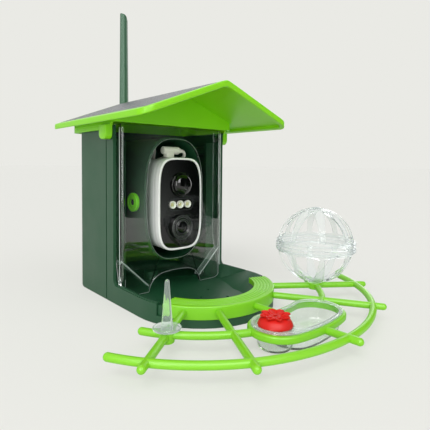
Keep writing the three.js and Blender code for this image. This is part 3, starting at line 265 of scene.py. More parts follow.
# Clear moulded acrylic: water-clear with faint flow lines and a pale haze that grows as the sheet is seen on edge.
# Lamps shine through it, as they do through thin real sheets, so a shadow ray meets a plain see-through surface.
def clearPlastic(name, hexText, roughness, wave, waveSize, ior, shade="#E4ECE8", haze=0.0, coat=0.0):
    material, tree, where = startMaterial(name)
    flow = addNode(tree, "TexNoise", {"Vector": where, "Scale": 1 / (waveSize * mm), "Detail": 1.0, "Distortion": 0.4})
    bump = addNode(tree, "Bump", {"Height": flow, "Strength": wave, "Distance": 0.4 * mm})
    shader = addNode(tree, "BsdfPrincipled", {
        "Base Color": colour(hexText), "Roughness": roughness, "IOR": ior, "Transmission Weight": 1.0,
        "Coat Weight": coat, "Coat Roughness": 0.03, "Coat IOR": 1.5, "Normal": bump})
    if haze:
        milk = addNode(tree, "BsdfDiffuse", {"Color": colour("#DCE1E1")})
        facing = addNode(tree, "LayerWeight", {"Blend": 0.5}).outputs["Facing"]
        amount = addNode(tree, "MapRange", {"Value": facing, "To Min": haze * 0.3, "To Max": haze})
        shader = addNode(tree, "MixShader", {0: amount, 1: shader, 2: milk})
    through = addNode(tree, "BsdfTransparent", {"Color": colour(shade)})
    path = addNode(tree, "LightPath").outputs
    light = addNode(tree, "Math", {"operation": "MAXIMUM", 0: path["Is Shadow Ray"], 1: path["Is Diffuse Ray"]})
    return closeMaterial(material, addNode(tree, "MixShader", {0: light, 1: shader, 2: through}))


# Turned or plated metal: fine rings or drawn lines, half a millimetre apart, break the reflection.
def metalFinish(name, hexText, roughness):
    material, tree, where = startMaterial(name)
    lines = addNode(tree, "TexNoise", {"Vector": where, "Scale": 1 / (0.5 * mm), "Detail": 2.0})
    rough = addNode(tree, "MapRange", {"Value": lines, "To Min": roughness * 0.8, "To Max": roughness * 1.3})
    bump = addNode(tree, "Bump", {"Height": lines, "Strength": 0.12, "Distance": 0.03 * mm})
    shader = addNode(tree, "BsdfPrincipled", {"Base Color": colour(hexText), "Metallic": 1.0, "Roughness": rough,
                                              "Normal": bump})
    return closeMaterial(material, shader)


greenAbs = mouldedPlastic("darkGreenAbs", "#17482C", 0.42, 0.2, specular=0.45)  # dull, grained
limeAbs = mouldedPlastic("limeAbs", "#7ECA17", 0.38, 0.05, 0.025)  # smooth, half gloss
roofAbs = mouldedPlastic("roofLimeAbs", "#80D006", 0.36, 0.05, 0.03, specular=0.4)
# the perch's lime made brighter: painted light on the knobs, which sit in shade behind the window
knobLimeLit = mouldedPlastic("knobLimePaintedLight", "#8CF006", 0.34, 0.05, 0.02, specular=0.4)
antennaAbs = mouldedPlastic("antennaAbs", "#345F45", 0.42, 0.2)
whiteAbs = mouldedPlastic("whiteGlossAbs", "#F4F4F3", 0.24, 0.05, 0.01)
greyAbs = mouldedPlastic("lightGreyAbs", "#D6D7D6", 0.42, 0.1, 0.015)
blackGloss = mouldedPlastic("blackAcrylic", "#050606", 0.04, 0.0, 0.0, ior=1.49)  # polished, mirrors the room
domeGloss = mouldedPlastic("blackPolycarbonate", "#060707", 0.03, 0.0, 0.0, ior=1.58)
barrelSatin = mouldedPlastic("barrelSatinAbs", "#141616", 0.16, 0.05, ior=1.8)
# mid grey for raised rims on the black camera parts: painted highlight on their edges
rimSatin = mouldedPlastic("rimSatinAbs", "#3C4141", 0.25, 0.05, ior=1.7)
blackSatin = mouldedPlastic("blackSatinAbs", "#101112", 0.3, 0.1)
ledPhosphor = mouldedPlastic("ledPhosphor", "#E6D79C", 0.5, 0.0)
ledCream = mouldedPlastic("ledReflectorPlastic", "#F6F4EA", 0.3, 0.0, 0.01)
redAbs = mouldedPlastic("redAbs", "#D21C14", 0.44, 0.05, 0.03, specular=0.25)
creamPvc = mouldedPlastic("creamPvc", "#E9E7DC", 0.38, 0.1, 0.02)
blackRubber = mouldedPlastic("blackRubber", "#1B1C1C", 0.75, 0.5)
edgeHighlightPlastic = mouldedPlastic("polishedEdgeAcrylic", "#C9D2CE", 0.12, 0.02, specular=0.8)  # pale opaque bars: painted highlight along the window's edges
paneAcrylic = clearPlastic("clearPane", "#FAFDFB", 0.01, 0.01, 60, 1.62)
rimAcrylic = clearPlastic("rimAcrylic", "#F8FCFA", 0.03, 0.01, 20, 1.07, haze=0.28, coat=1.0)
stripAcrylic = clearPlastic("deflectorAcrylic", "#F4FAF8", 0.02, 0.02, 20, 1.5, haze=0.25, coat=0.6)
paneCut = clearPlastic("sawnPaneEdge", "#DCE6E0", 0.3, 0.06, 20, 1.4, haze=0.3)  # sawn, so greyer than the face
clearAcrylic = clearPlastic("clearAcrylic", "#FDFFFE", 0.05, 0.01, 30, 1.1, "#F6F8FA", 0.3, 0.12)
cupAcrylic = clearPlastic("cupAcrylic", "#FAFEFC", 0.02, 0.04, 20, 1.09, "#F4F8F6", 0.05, 0.9)
ledAcrylic = clearPlastic("ledAcrylic", "#FFFFFF", 0.05, 0.05, 10, 1.35)
spikeAcrylic = clearPlastic("spikeAcrylic", "#F6FCF8", 0.08, 0.02, 20, 1.2, haze=0.38, coat=0.9)
brassPlate = metalFinish("turnedBrass", "#C9A24D", 0.25)
zincSteel = metalFinish("zincSteel", "#B9BCC0", 0.3)

# The panel's cells, their gaps, busbars and silver fingers, each with its distance and width.
cells = {"pitchY": 26 * mm, "gap": 0.9 * mm, "busY": 13 * mm, "bus": 0.7 * mm, "finger": 1.6 * mm, "line": 0.22 * mm,
         "dark": "#15191F", "light": "#232933", "silver": "#59606A", "busbar": "#B4B8BD"}


# Crystalline cells under a clear laminate: near-black cells shimmer a little, thin silver fingers run along the slope,
# and gaps and wider busbars lie over both.
def solarLaminate():
    material, tree, where = startMaterial("solarLaminate")
    split = addNode(tree, "SeparateXYZ", {"Vector": where}).outputs

    def stripes(source, pitch, width):  # one where the fraction of source / pitch is under width / pitch
        scaled = addNode(tree, "Math", {"operation": "MULTIPLY", 0: source, 1: 1 / pitch})
        part = addNode(tree, "Math", {"operation": "FRACT", 0: scaled})
        return addNode(tree, "Math", {"operation": "LESS_THAN", 0: part, 1: width / pitch})

    bars = addNode(tree, "Math", {"operation": "MAXIMUM", 0: stripes(split["Y"], cells["pitchY"], cells["gap"]),
                                  1: stripes(split["Y"], cells["busY"], cells["bus"])})
    cloud = addNode(tree, "TexNoise", {"Vector": where, "Scale": 60.0, "Detail": 2.0})
    blue = addNode(tree, "Mix", {"data_type": "RGBA", 0: cloud, 6: colour(cells["dark"]), 7: colour(cells["light"])})
    fingers = stripes(split["X"], cells["finger"], cells["line"])
    lined = addNode(tree, "Mix", {"data_type": "RGBA", 0: fingers, 6: blue.outputs[2], 7: colour(cells["silver"])})
    full = addNode(tree, "Mix", {"data_type": "RGBA", 0: bars, 6: lined.outputs[2], 7: colour(cells["busbar"])})
    shader = addNode(tree, "BsdfPrincipled", {"Base Color": full.outputs[2], "Roughness": 0.5, "IOR": 1.45,
                                              "Coat Weight": 0.25, "Coat Roughness": 0.3})
    return closeMaterial(material, shader)


panelFinish = solarLaminate()
print("finishes made")

# Housing and tray.
for node, name in (("rear_shell", "rearShell"), ("front_shell", "frontShell")):
    roundedCopy(node, name, "housing", greenAbs, 0.7)

pod = {"a": 35.5, "b": 62.3, "z": 97.4, "power": 2.8, "wall": 2.0, "front": -2.5, "rear": 72.4, "backWall": 2.5,
       "boss": 6.0, "bossBore": 3.3, "bossInner": 28.1, "pivot": (0, 15, 94.5)}
wallLine = roundCorners([[-pod["wall"], pod["rear"]], [-pod["wall"], pod["front"]], [0, pod["front"]],
                         [0, pod["rear"] - pod["backWall"]]], [0, 0.8, 0.8, 0])
bossEnd = pod["a"] + 0.4
bossLine = roundCorners([[pod["bossBore"], pod["bossInner"]], [pod["boss"], pod["bossInner"]], [pod["boss"], bossEnd]],
                        0.6)
bossLoop = np.concatenate([bossLine, [[pod["bossBore"], bossEnd]]])
addPiece("cameraPod", "housing", greenAbs, [ovalSkin(wallLine, pod, "bar"), *[
    turned(bossLoop, pod["pivot"], axis, 48, "ring") for axis in ("x", "-x")]], "camera_pod")
print("housing made")

# Clear hopper front.
window = {"half": 64.0, "front": -5.0, "fold": 4.0, "sheet": 2.2, "bottom": 4.6, "top": 171.5, "corner": 12.0,
          "flangeRear": 9.0, "archHalf": 33.0, "archTop": 22.6, "denseBelow": 57,
          "lowEdge": [[0, 16.6], [6.8, 41], [9, 52]]}  # y and z where each flange ends below


# A sheet between two grids of the same shape: each named border gets a strip that joins the two.
def sheetBetween(outer, inner, borders, kind="sheet"):
    strips = [patch(np.stack([outer[rows, cols], inner[rows, cols]]), strip) for rows, cols, strip in borders]
    return [patch(outer, kind), patch(inner, kind), *strips]


# The right half of the pane's outline: top edge, straight side, round corner, foot, and the outlet's arch, whose two
# parts are quadratic curves.
def windowHalf():
    w = window
    fx = w["half"] - w["fold"]
    cz, cx = w["bottom"] + w["corner"], w["half"] - w["corner"]
    endTurn = math.acos((fx - cx) / w["corner"])
    sideLow = cz - w["corner"] * math.sin(endTurn)
    sideZ = np.concatenate([np.linspace(w["top"], w["denseBelow"] + 3, 28), np.linspace(w["denseBelow"], sideLow, 26)])
    t = np.linspace(-endTurn, -np.pi / 2, 12)[1:]
    corner = np.stack([cx + w["corner"] * np.cos(t), cz + w["corner"] * np.sin(t)], 1)
    foot = np.stack([np.linspace(cx, w["archHalf"], 8)[1:], np.full(7, w["bottom"])], 1)
    q = np.linspace(0, 1, 16)[1:, None]
    a, b = np.array([[w["archHalf"], w["bottom"] + 1]]), np.array([[w["archHalf"] - 3, w["archTop"] - 3]])
    c, d = np.array([[15, w["archTop"] - 0.8]]), np.array([[0, w["archTop"] + 0.8]])
    crown = bend(c, d, c * [-1, 1], q)
    top = np.stack([np.linspace(0, fx, 16), np.full(16, w["top"])], 1)[:-1]
    side = np.stack([np.full(len(sideZ), fx), sideZ], 1)
    half = np.concatenate([top, side, corner, foot, a, bend(a, b, c, q), crown[crown[:, 0] > 0.2], [[0, w["archTop"]]]])
    return half, len(top), sideZ


# The pane is flat from its oval opening out to its outline, as P = oval (1 - s) + outline s. Each side flange carries a
# fold and a straight back along its height, down to a low edge that rises from the corner to the rear.
def windowSheet():
    w = window
    fx, foldY = w["half"] - w["fold"], w["front"] + w["fold"]
    cz, cx = w["bottom"] + w["corner"], w["half"] - w["corner"]
    half, sideFirst, sideZ = windowHalf()
    outline = np.concatenate([half, (half * [-1, 1])[1:-1][::-1]])
    turn = np.unwrap(np.arctan2(outline[:, 1] - pod["z"], outline[:, 0]))
    scale = (np.abs(np.cos(turn) / pod["a"]) ** pod["power"] + np.abs(np.sin(turn) / pod["b"]) ** pod["power"]) ** (
        -1 / pod["power"])
    oval = np.stack([scale * np.cos(turn), pod["z"] + scale * np.sin(turn)], 1)
    share = np.linspace(0, 1, 9)[:, None, None]
    flat = oval[None] * (1 - share) + outline[None] * share
    plates = [np.insert(flat, 1, y, axis=2) for y in (w["front"], w["front"] + w["sheet"])]
    count, sideLast = len(outline), sideFirst + len(sideZ) - 1
    lower = np.arange(sideLast, count - sideLast + 1)
    upper = np.arange(count - sideFirst, count + sideFirst + 1) % count
    pieces = sheetBetween(*plates, [(0, slice(None), "tube"), (-1, lower, "sheet"), (-1, upper, "sheet")], "tube")

    foldTurn = np.linspace(-np.pi / 2, 0, 9)
    straight = np.linspace(foldY, w["flangeRear"], 14)[1:]
    lowY = np.concatenate([w["front"] + w["fold"] * (1 + np.sin(foldTurn)), straight])
    reach = (w["top"] - sideZ) / (w["top"] - sideZ[-1])
    flanges = []
    for r in (w["fold"], w["fold"] - w["sheet"]):
        x = np.concatenate([fx + r * np.cos(foldTurn), np.full(13, fx + r)])
        y = np.concatenate([foldY + r * np.sin(foldTurn), straight])
        onCorner = cz - np.sqrt(np.maximum(w["corner"] ** 2 - (fx + w["fold"] * (x - fx) / r - cx) ** 2, 0))
        low = np.where(lowY <= 0, onCorner, np.interp(lowY, *np.transpose(w["lowEdge"])))
        z = w["top"] + (low[:, None] - w["top"]) * reach[None, :]
        flanges.append(np.stack(np.broadcast_arrays(x[:, None], y[:, None], z), -1))
    whole = slice(None)
    for sign in (1, -1):
        outer, inner = (f * [sign, 1, 1] for f in flanges)
        pieces += sheetBetween(outer, inner, [(whole, 0, "sheet"), (whole, -1, "sheet"), (-1, whole, "sheet")])
    return pieces


pane = addPiece("hopperWindow", "housing", paneAcrylic, windowSheet(), "hopper_window", 30, 0.02)
softenEdges(pane, "soft edges", 0.3, 2, 50)
lipLine = roundCorners([[-0.15, -5.2], [-0.6, -5.2], [-0.6, -4.7], [-0.15, -4.7]], 0.2, 4, closed=True)
addPiece("windowLip", "housing", paneCut, [ovalSkin(lipLine, pod)])

deflector = {"top": [62.9, 39.6], "foot": [33.2, 10.9], "thick": 1.9, "front": -2.7, "rear": 4.2, "edge": 0.28}
cutEdge = {"foot": 0.3, "side": 0.4, "ends": [18, 168], "sides": {-1: (-63.9, -1.2), 1: (63.1, -3.8)},
           "rear": [[0.4, 16.8], [7.0, 41.2], [9.1, 52.2], [9.1, 168]]}


# A strip half its thickness to each side of the line from top to foot, carried from front to rear.
def deflectorStrip(side):
    d = deflector
    top, foot = np.array(d["top"]), np.array(d["foot"])
    along = (foot - top) / np.linalg.norm(foot - top)
    across = np.array([-along[1], along[0]]) * d["thick"] / 2
    outline = roundCorners([top - across, foot - across, foot + across, top + across], 0.7, 4, closed=True)
    return slab(outline * [side, 1], d["front"], d["rear"], 0.2, "y")


# Points at an even step along a polyline, so that a thin bar can follow it.
def evenLine(points, step=1.2):
    p = np.asarray(points, float)
    run = np.concatenate([[0], np.cumsum(np.linalg.norm(np.diff(p, axis=0), axis=1))])
    at = np.linspace(0, run[-1], max(3, int(run[-1] / step)))
    return np.stack([np.interp(at, run, p[:, i]) for i in range(3)], 1)


# Thin bars along the window's cut edges: the outline's foot, then on each side the fold, the deflector's two edges
# and the flange's rear edge. The side bars are pale and opaque: painted highlight where the edges catch the light.
def cutEdges():
    half, sideFirst, sideZ = windowHalf()
    right = half[sideFirst + len(sideZ) - 8:]
    foot = np.concatenate([right, (right * [-1, 1])[::-1][1:]])
    lines = [(np.insert(foot, 1, window["front"] - 0.1, axis=1), cutEdge["foot"])]
    (topX, topZ), (footX, footZ) = deflector["top"], deflector["foot"]
    for side, (x, y) in cutEdge["sides"].items():
        lines.append(([[x, y, z] for z in cutEdge["ends"]], cutEdge["side"]))
        lines += [([[side * topX, y, topZ], [side * footX, y, footZ]], deflector["edge"])
                  for y in (deflector["front"], deflector["rear"])]
        lines.append(([[x, *place] for place in cutEdge["rear"]], cutEdge["side"]))
    return [barAlong(evenLine(line), radius, 8) for line, radius in lines]


edges = cutEdges()
addPiece("windowFootEdge", "housing", paneCut, edges[:1])
# pale opaque bars on the folds, deflector edges and flange edges: painted highlights
addPiece("windowSideEdges", "housing", edgeHighlightPlastic, edges[1:])
for side, label in ((-1, "Left"), (1, "Right")):
    addPiece("windowDeflector" + label, "housing", stripAcrylic, [deflectorStrip(side)])
print("window made")

# Camera body.
cameraOval = {"a": 27.6, "b": 47.7, "z": 92.8, "power": 4.2}
bezel = {"front": -13.8, "rear": -7.95, "width": 2.1, "round": 1.3}
midRing = {"front": -7.65, "rear": -3.75, "inner": 4.8, "step": -10.9}
caseLine = {"points": [[5, -3.45], [0.3, -3.45], [0.8, 18], [2.4, 25], [5.4, 29], [9.5, 31]],
            "round": [0, 0.6, 4, 3.5, 2.5, 0]}
bezelLine = roundCorners([[0, bezel["rear"]], [0, bezel["front"]], [bezel["width"], bezel["front"]],
                          [bezel["width"], bezel["rear"]]], [0.3, bezel["round"], 0.9, 0.2], 7, closed=True)
midLine = roundCorners([[0.2, midRing["front"]], [0.2, midRing["rear"]], [midRing["inner"], midRing["rear"]],
                        [midRing["inner"], midRing["step"]], [2.7, midRing["step"]], [2.7, midRing["front"]]], 0.6, 4,
                       closed=True)
addPiece("cameraBezel", "camera", whiteAbs, [ovalSkin(bezelLine, cameraOval)], "camera_bezel")
addPiece("cameraMidRing", "camera", greyAbs, [ovalSkin(midLine, cameraOval)], "camera_mid_ring")
addPiece("cameraRearCase", "camera", greyAbs, [
    ovalSkin(roundCorners(caseLine["points"], caseLine["round"], 7), cameraOval, "bar")], "camera_rear_case")

face = {"inset": 2.35, "front": 13.2, "rear": 11.2, "pillHalf": 15.4, "pillHigh": 5.6, "pillDepth": 1.95, "ring": 0.55}
ledRow = {"z": 92.2, "pitch": 9.6, "radius": 4.0, "seat": 12.5}


# A stadium outline round the lens row: half circles at both ends and straight lines, |P| = half + high (cos, sin).
def pillLine(grow, turns):
    high = face["pillHigh"] + grow
    straight = face["pillHalf"] - face["pillHigh"]
    c, s = np.cos(turns), np.sin(turns)
    slope = np.minimum(high / np.maximum(np.abs(s), 1e-9), 1e9)
    along = straight * np.abs(c) + np.sqrt(np.maximum(high**2 - (straight * s) ** 2, 0))
    reach = np.where(np.abs(slope * c) <= straight, slope, along)
    return np.stack([reach * c, ledRow["z"] + reach * s], 1)


# The black face: flat between the lens row's stadium and the oval, P = pill (1 - s) + oval s, with a sunk stadium
# floor. The oval's reach in each direction is found by halving from 80 mm.
def cameraFaceSkin():
    turns = 2 * np.pi * np.arange(192) / 192
    a, b, power = cameraOval["a"] - face["inset"], cameraOval["b"] - face["inset"], cameraOval["power"]
    lift = cameraOval["z"] - ledRow["z"]
    c, s = np.cos(turns), np.sin(turns)
    low, high = np.zeros_like(turns), np.full_like(turns, 80.0)
    for _ in range(40):
        middle = (low + high) / 2
        inside = np.abs(middle * c / a) ** power + np.abs((middle * s - lift) / b) ** power < 1
        low, high = np.where(inside, middle, low), np.where(inside, high, middle)
    oval = np.stack([low * c, ledRow["z"] + low * s], 1)
    front, floor = face["front"], face["front"] - face["pillDepth"]
    rows = [(pillLine(grow, turns), y) for grow, y in (
        (-0.9, floor), (-0.25, floor), (-0.1, front - 0.1), (0, front + 0.25), (face["ring"], front + 0.25),
        (face["ring"] + 0.15, front))]
    rim = rows[-1][0]
    rows += [(rim * (1 - k) + oval * k, front) for k in (0.25, 0.5, 0.75, 0.99)]
    rows += [(oval, front - 0.25), (oval, face["rear"])]
    return patch(np.stack([np.insert(line, 1, -y, axis=1) for line, y in rows]), "bar")


# A half-round bead in a circle: (radius + thick cos t, front + thick sin t) turned round the line through x and z.
def ringBead(x, z, radius, thick, front):
    t = np.radians(np.linspace(0, 180, 9))
    section = np.stack([radius + thick * np.cos(t), front + thick * np.sin(t)], 1)
    return turned(section[::-1], (x, 0, z), "-y", 40, "ring")


ports = {"x": 12.3, "z": 81.0, "radius": 1.15, "thick": 0.32}
addPiece("cameraFace", "camera", blackGloss, [cameraFaceSkin(), *[
    ringBead(side * ports["x"], ports["z"], ports["radius"], ports["thick"], face["front"]) for side in (-1, 1)]],
    "camera_face", 30)

# Motion dome, lens row and lens.
dome = {"z": 112.6, "radius": 12.5, "back": 11.4, "seat": 13.5, "collar": 1.6, "rise": 7.2}
r, step = dome["radius"], dome["seat"] + dome["collar"]
domeTurn = np.radians(np.linspace(0, 90, 24))
domeFoot = roundCorners([[9.8, dome["back"]], [9.8, dome["seat"]], [r, dome["seat"]], [r, step], [r * 0.95, step + 0.5],
                         [r * 0.9, step], [r * 0.88, step + 0.9]], [0, 0.3, 0.5, 0.5, 0.3, 0.3, 0], 5)
domeCap = np.stack([r * 0.88 * np.cos(domeTurn), step + 1 + (dome["rise"] - 1) * np.sin(domeTurn)], 1)
domeLine = np.concatenate([[[0, dome["back"]]], domeFoot, domeCap])
addPiece("motionDome", "camera", domeGloss, [turned(domeLine, (0, 0, dome["z"]), "-y", 96)], "motion_dome", 50)

r, seat = ledRow["radius"], ledRow["seat"]
lensLine = roundCorners([[0, seat - 0.7], [r - 1.5, seat - 0.7], [r - 0.6, seat + 0.75], [r * 0.7, seat + 1.4],
                         [r * 0.35, seat + 1.9], [0, seat + 2.0]], [0, 0.2, 0.4, 0.8, 0.8, 0])
ledCupLine = roundCorners([[0, seat - 1.1], [1.6, seat - 1.1], [r - 0.5, seat + 0.7], [r - 0.1, seat + 0.9],
                           [r, seat + 0.5], [r, seat - 1.3], [0, seat - 1.3]], [0, 0.3, 0.2, 0.2, 0.2, 0.1, 0])
chipSquare = np.array([[-1.3, -1.3], [1.3, -1.3], [1.3, 1.3], [-1.3, 1.3]])
for index in (1, 2, 3):
    x, z = (index - 2) * ledRow["pitch"], ledRow["z"]
    addPiece(f"ledLens{index}", "camera", ledAcrylic, [turned(lensLine, (x, 0, z), "-y", 32)], f"led_lens_{index}", 60)
    addPiece(f"ledCup{index}", "camera", ledCream, [turned(ledCupLine, (x, 0, z), "-y", 32)], smoothAngle=60)
    chip = roundCorners(chipSquare + [x, z], 0.4, 4, True)
    addPiece(f"ledChip{index}", "camera", ledPhosphor, [slab(chip, -seat + 0.75, -seat + 1.2, 0.1, "y")])

lensRing = {"z": 68.5, "seat": 13.5, "collar": 1.6, "glass": 6.2, "glassBack": 11.2}
s = lensRing["seat"] + lensRing["collar"]
barrelLine = roundCorners([[9.6, s - 2.6], [12.9, s - 2.6], [12.9, s + 1.2], [12.1, s + 2.0], [10.9, s + 2.0],
                           [10.4, s + 0.9], [9.3, s + 0.9], [9.0, s + 2.3], [7.9, s + 2.3], [7.4, s + 1.4],
                           [6.7, s + 1.4], [6.3, s + 0.6], [6.3, s - 2.6]],
                          [0, 0.2, 0.6, 0.5, 0.3, 0.2, 0.2, 0.35, 0.35, 0.2, 0.2, 0.2, 0])
glassTurn = np.radians(np.linspace(0, 90, 14))
glassCap = np.stack([lensRing["glass"] * np.cos(glassTurn), s + 0.3 + 1.9 * np.sin(glassTurn)], 1)
glassLine = np.concatenate([[[0, lensRing["glassBack"]], [lensRing["glass"], lensRing["glassBack"]]], glassCap])
addPiece("lensBarrel", "camera", barrelSatin, [turned(barrelLine, (0, 0, lensRing["z"]), "-y", kind="ring")],
         "lens_barrel")
addPiece("lensGlass", "camera", domeGloss, [turned(glassLine, (0, 0, lensRing["z"]), "-y")], "lens_glass", 60)

# Raised beads on the lens barrel's and dome's rings, and a rim round the lens row, all in mid grey: real raised edges
# whose lighter colour is painted highlight.
highlightBeads = [(lensRing["z"], 12.5, 0.3, s + 1.75), (lensRing["z"], 10.5, 0.22, s + 1.4),
            (lensRing["z"], 8.5, 0.25, s + 2.2), (lensRing["z"], 6.6, 0.2, s + 1.3),
            (dome["z"], 12.2, 0.25, dome["seat"] + 1.5)]  # height, radius, thickness, front
rowTurns = 2 * np.pi * np.arange(160) / 160
rowHighlightRim = np.stack([np.insert(pillLine(grow, rowTurns), 1, -(face["front"] + depth), axis=1)
                   for grow, depth in ((0.15, 0.2), (0.15, 0.45), (0.5, 0.45), (0.5, 0.2))])
addPiece("cameraRims", "camera", rimSatin, [*[ringBead(0.0, *bead) for bead in highlightBeads], patch(rowHighlightRim, "ring")],
         smoothAngle=60)
print("camera made")

# Plug, lead and knobs.
plug = {"x": -1.9, "y": 6.0, "z": 148.4, "radius": 4.15, "left": -10.2, "right": 10.0, "relief": 13.0, "top": 140.8,
        "pin": 2.1, "pinEnds": [136, 142], "neck": [5.2, 3.6]}
barrel = roundCorners([[0, plug["left"]], [plug["radius"], plug["left"]], [plug["radius"], plug["right"]],
                       [3.0, plug["right"] + 0.4], [2.5, plug["relief"]], [0, plug["relief"]]],
                      [0, 1.2, 1.0, 0.4, 0.2, 0], 6)
neckCorners = np.array([[-1, -1], [1, -1], [1, 1], [-1, 1]]) * plug["neck"] + [plug["x"], plug["y"]]
addPiece("chargePlug", "camera", creamPvc, [
    turned(barrel, (0, plug["y"], plug["z"]), "x", 48),
    slab(roundCorners(neckCorners, 2.2, 6, True), plug["top"], plug["z"], 0.5, "z"),
    barAlong([[plug["x"], plug["y"], z] for z in plug["pinEnds"]], plug["pin"], 24, (False, False))], "charge_plug")

leadRoute = [[13.3, 6, 148.4], [16.4, 6.2, 147.9], [19.2, 7.2, 146], [21, 9.6, 143.2], [21.9, 13.6, 141],
             [22, 20, 140.4], [21, 28.5, 141], [18.6, 36.6, 141.6], [15.6, 43.6, 141], [12.2, 48.6, 138.6],
             [8.8, 50.6, 136.6], [6.4, 49.4, 138], [5.3, 46.6, 142.2], [5, 45.1, 148.5], [5, 45, 155.7]]
leadSize = {"diameter": 3.6, "sides": 20}


# A smooth curve through the route's points: a Catmull-Rom cubic between each pair.
def smoothRoute(points, perSpan=10):
    p = np.asarray(points, float)
    p = np.concatenate([[2 * p[0] - p[1]], p, [2 * p[-1] - p[-2]]])
    t = np.linspace(0, 1, perSpan, endpoint=False)[None, :, None]
    a, b, c, d = p[:-3, None], p[1:-2, None], p[2:-1, None], p[3:, None]
    cubic = 0.5 * (2 * b + (c - a) * t + (2 * a - 5 * b + 4 * c - d) * t**2 + (3 * b - a - 3 * c + d) * t**3)
    return np.concatenate([cubic.reshape(-1, 3), p[-2:-1]])


leadLine = smoothRoute(leadRoute)
lead = addPiece("chargeLead", "housing", creamPvc, [
    barAlong(leadLine, leadSize["diameter"] / 2, leadSize["sides"], (False, False))], "charge_lead")

knob = {"radius": 9.6, "seat": 38.2, "outer": 42.2, "dish": 0.9, "rim": 1.9, "hub": 4.4, "bore": 3.4, "inner": 20}
r, hub, bore = knob["radius"], knob["hub"], knob["bore"]
top, dish, inside = knob["outer"], knob["outer"] - knob["dish"], knob["radius"] - knob["rim"]
knobLine = roundCorners([[0, knob["inner"]], [3, knob["inner"]], [3, knob["seat"]], [r, knob["seat"]], [r, top],
                         [inside, top], [inside - 0.5, dish], [hub + 0.3, dish], [hub, top - 0.6], [bore, top - 0.6],
                         [bore - 0.5, top - 6], [0, top - 6]],
                        [0, 0.3, 0.3, 0.9, 0.9, 0.5, 0.4, 0.3, 0.3, 0.2, 0.1, 0], 6)
# A black disc sunk in each knob's bore: painted shade standing in for the dark of the hole.
boreShadeDisc = roundCorners([[0, top - 4], [bore - 0.55, top - 4], [bore - 0.6, top - 0.9], [1.2, top - 0.9],
                         [1.0, top - 2.2], [0, top - 2.2]], 0.15, 4)
# each knob in the brightened lime, which is painted light
for axis, label, side in (("x", "Right", "right"), ("-x", "Left", "left")):
    addPiece("tiltKnob" + label, "knob_" + side, knobLimeLit, [turned(knobLine, pod["pivot"], axis)], "tilt_knob_" + side)
    addPiece("knobScrew" + label, "knob_" + side, blackSatin, [turned(boreShadeDisc, pod["pivot"], axis, 32)])
print("plug, lead and knobs made")

# Roof and solar panel.
roof = {"half": 87.5, "front": -83.3, "rear": 106.1, "ridge": 210.3, "pitch": 0.384, "ridgeRound": 2.0, "fascia": 5.8,
        "sheet": 2.8, "rim": 5.0, "lipEnd": 9.0, "ridgeEnd": 12.0, "corner": 12.0, "rearCorner": 5.0}
collar = {"inside": 70.8, "wall": 2.6, "front": -12.0, "rear": 84.8, "bottom": 166.4, "gableBottom": 172.5,
          "step": -0.2, "steepness": 60, "corner": 6.0}
lug = {"y0": 0.0, "y1": 15.0, "bottom": 157.0, "top": 170.4, "proud": 4.2, "radius": 4.0}


# The roof's top: z = ridge - pitch sqrt(x^2 + r^2), a straight fall to each side that is rounded over the ridge.
def roofHeight(x):
    return roof["ridge"] - roof["pitch"] * np.sqrt(x**2 + roof["ridgeRound"] ** 2)


# The outline of a rectangle with round corners, drawn in by inset, with the same count of points for every inset.
# Points across are spaced by flat^1.6, closer together under the ridge.
def roundedPlan(halfWidth, front, rear, corner, rearCorner, inset=0.0):
    hw, y0, y1 = halfWidth - inset, front + inset, rear - inset
    rf, rr = max(corner - inset, 0.4), max(rearCorner - inset, 0.4)
    t, flat = np.linspace(0, np.pi / 2, 12), np.linspace(-1, 1, 49)
    straight = np.sign(flat) * np.abs(flat) ** 1.6
    frontLine = np.stack([straight * (hw - rf), np.full(len(flat), y0)], 1)
    rightFront = np.stack([hw - rf + rf * np.sin(t), y0 + rf - rf * np.cos(t)], 1)
    side = np.stack([np.full(24, hw), np.linspace(y0 + rf, y1 - rr, 24)], 1)
    rightRear = np.stack([hw - rr + rr * np.cos(t), y1 - rr + rr * np.sin(t)], 1)
    rearLine = np.stack([-straight * (hw - rr), np.full(len(flat), y1)], 1)
    right = np.concatenate([rightFront[1:], side[1:-1], rightRear[:-1]])
    return np.concatenate([frontLine, right, rearLine, (right * [-1, 1])[::-1]])


# The roof shell: a lip profile of (inset, depth) goes round the plan, then both faces close on the ridge line.
def roofSkin():
    r = roof
    lip = roundCorners([[3, 0], [0, 0], [0, r["fascia"]], [r["rim"], r["fascia"]], [r["rim"] + 0.3, r["sheet"]],
                        [r["lipEnd"], r["sheet"]]], [0, 1.6, 1.5, 0.5, 0.6, 0], 7)

    def lifted(line, depth):  # an outline laid on the slope and sunk by depth
        return np.concatenate([line, (roofHeight(line[:, 0]) - depth)[:, None]], 1)

    def plan(inset):  # the eaves drawn in
        return roundedPlan(r["half"], r["front"], r["rear"], r["corner"], r["rearCorner"], inset)

    def closing(inset, depth, shares):  # rows from the eaves in to the ridge line: P = edge (1 - k) + spine k
        edge = plan(inset)
        ridgeY = np.clip(edge[:, 1], r["front"] + r["ridgeEnd"], r["rear"] - r["ridgeEnd"])
        spine = np.stack([0 * ridgeY, ridgeY], 1)
        return [lifted(edge * (1 - k) + spine * k, depth) for k in shares]

    shares = 1 - (1 - np.linspace(0, 1, 18)[1:]) ** 2.2  # closer together at the ridge
    rows = closing(3, 0, shares)[::-1] + [lifted(plan(inset), depth) for inset, depth in lip]
    return patch(np.stack(rows + closing(r["lipEnd"], r["sheet"], shares)), "tube")


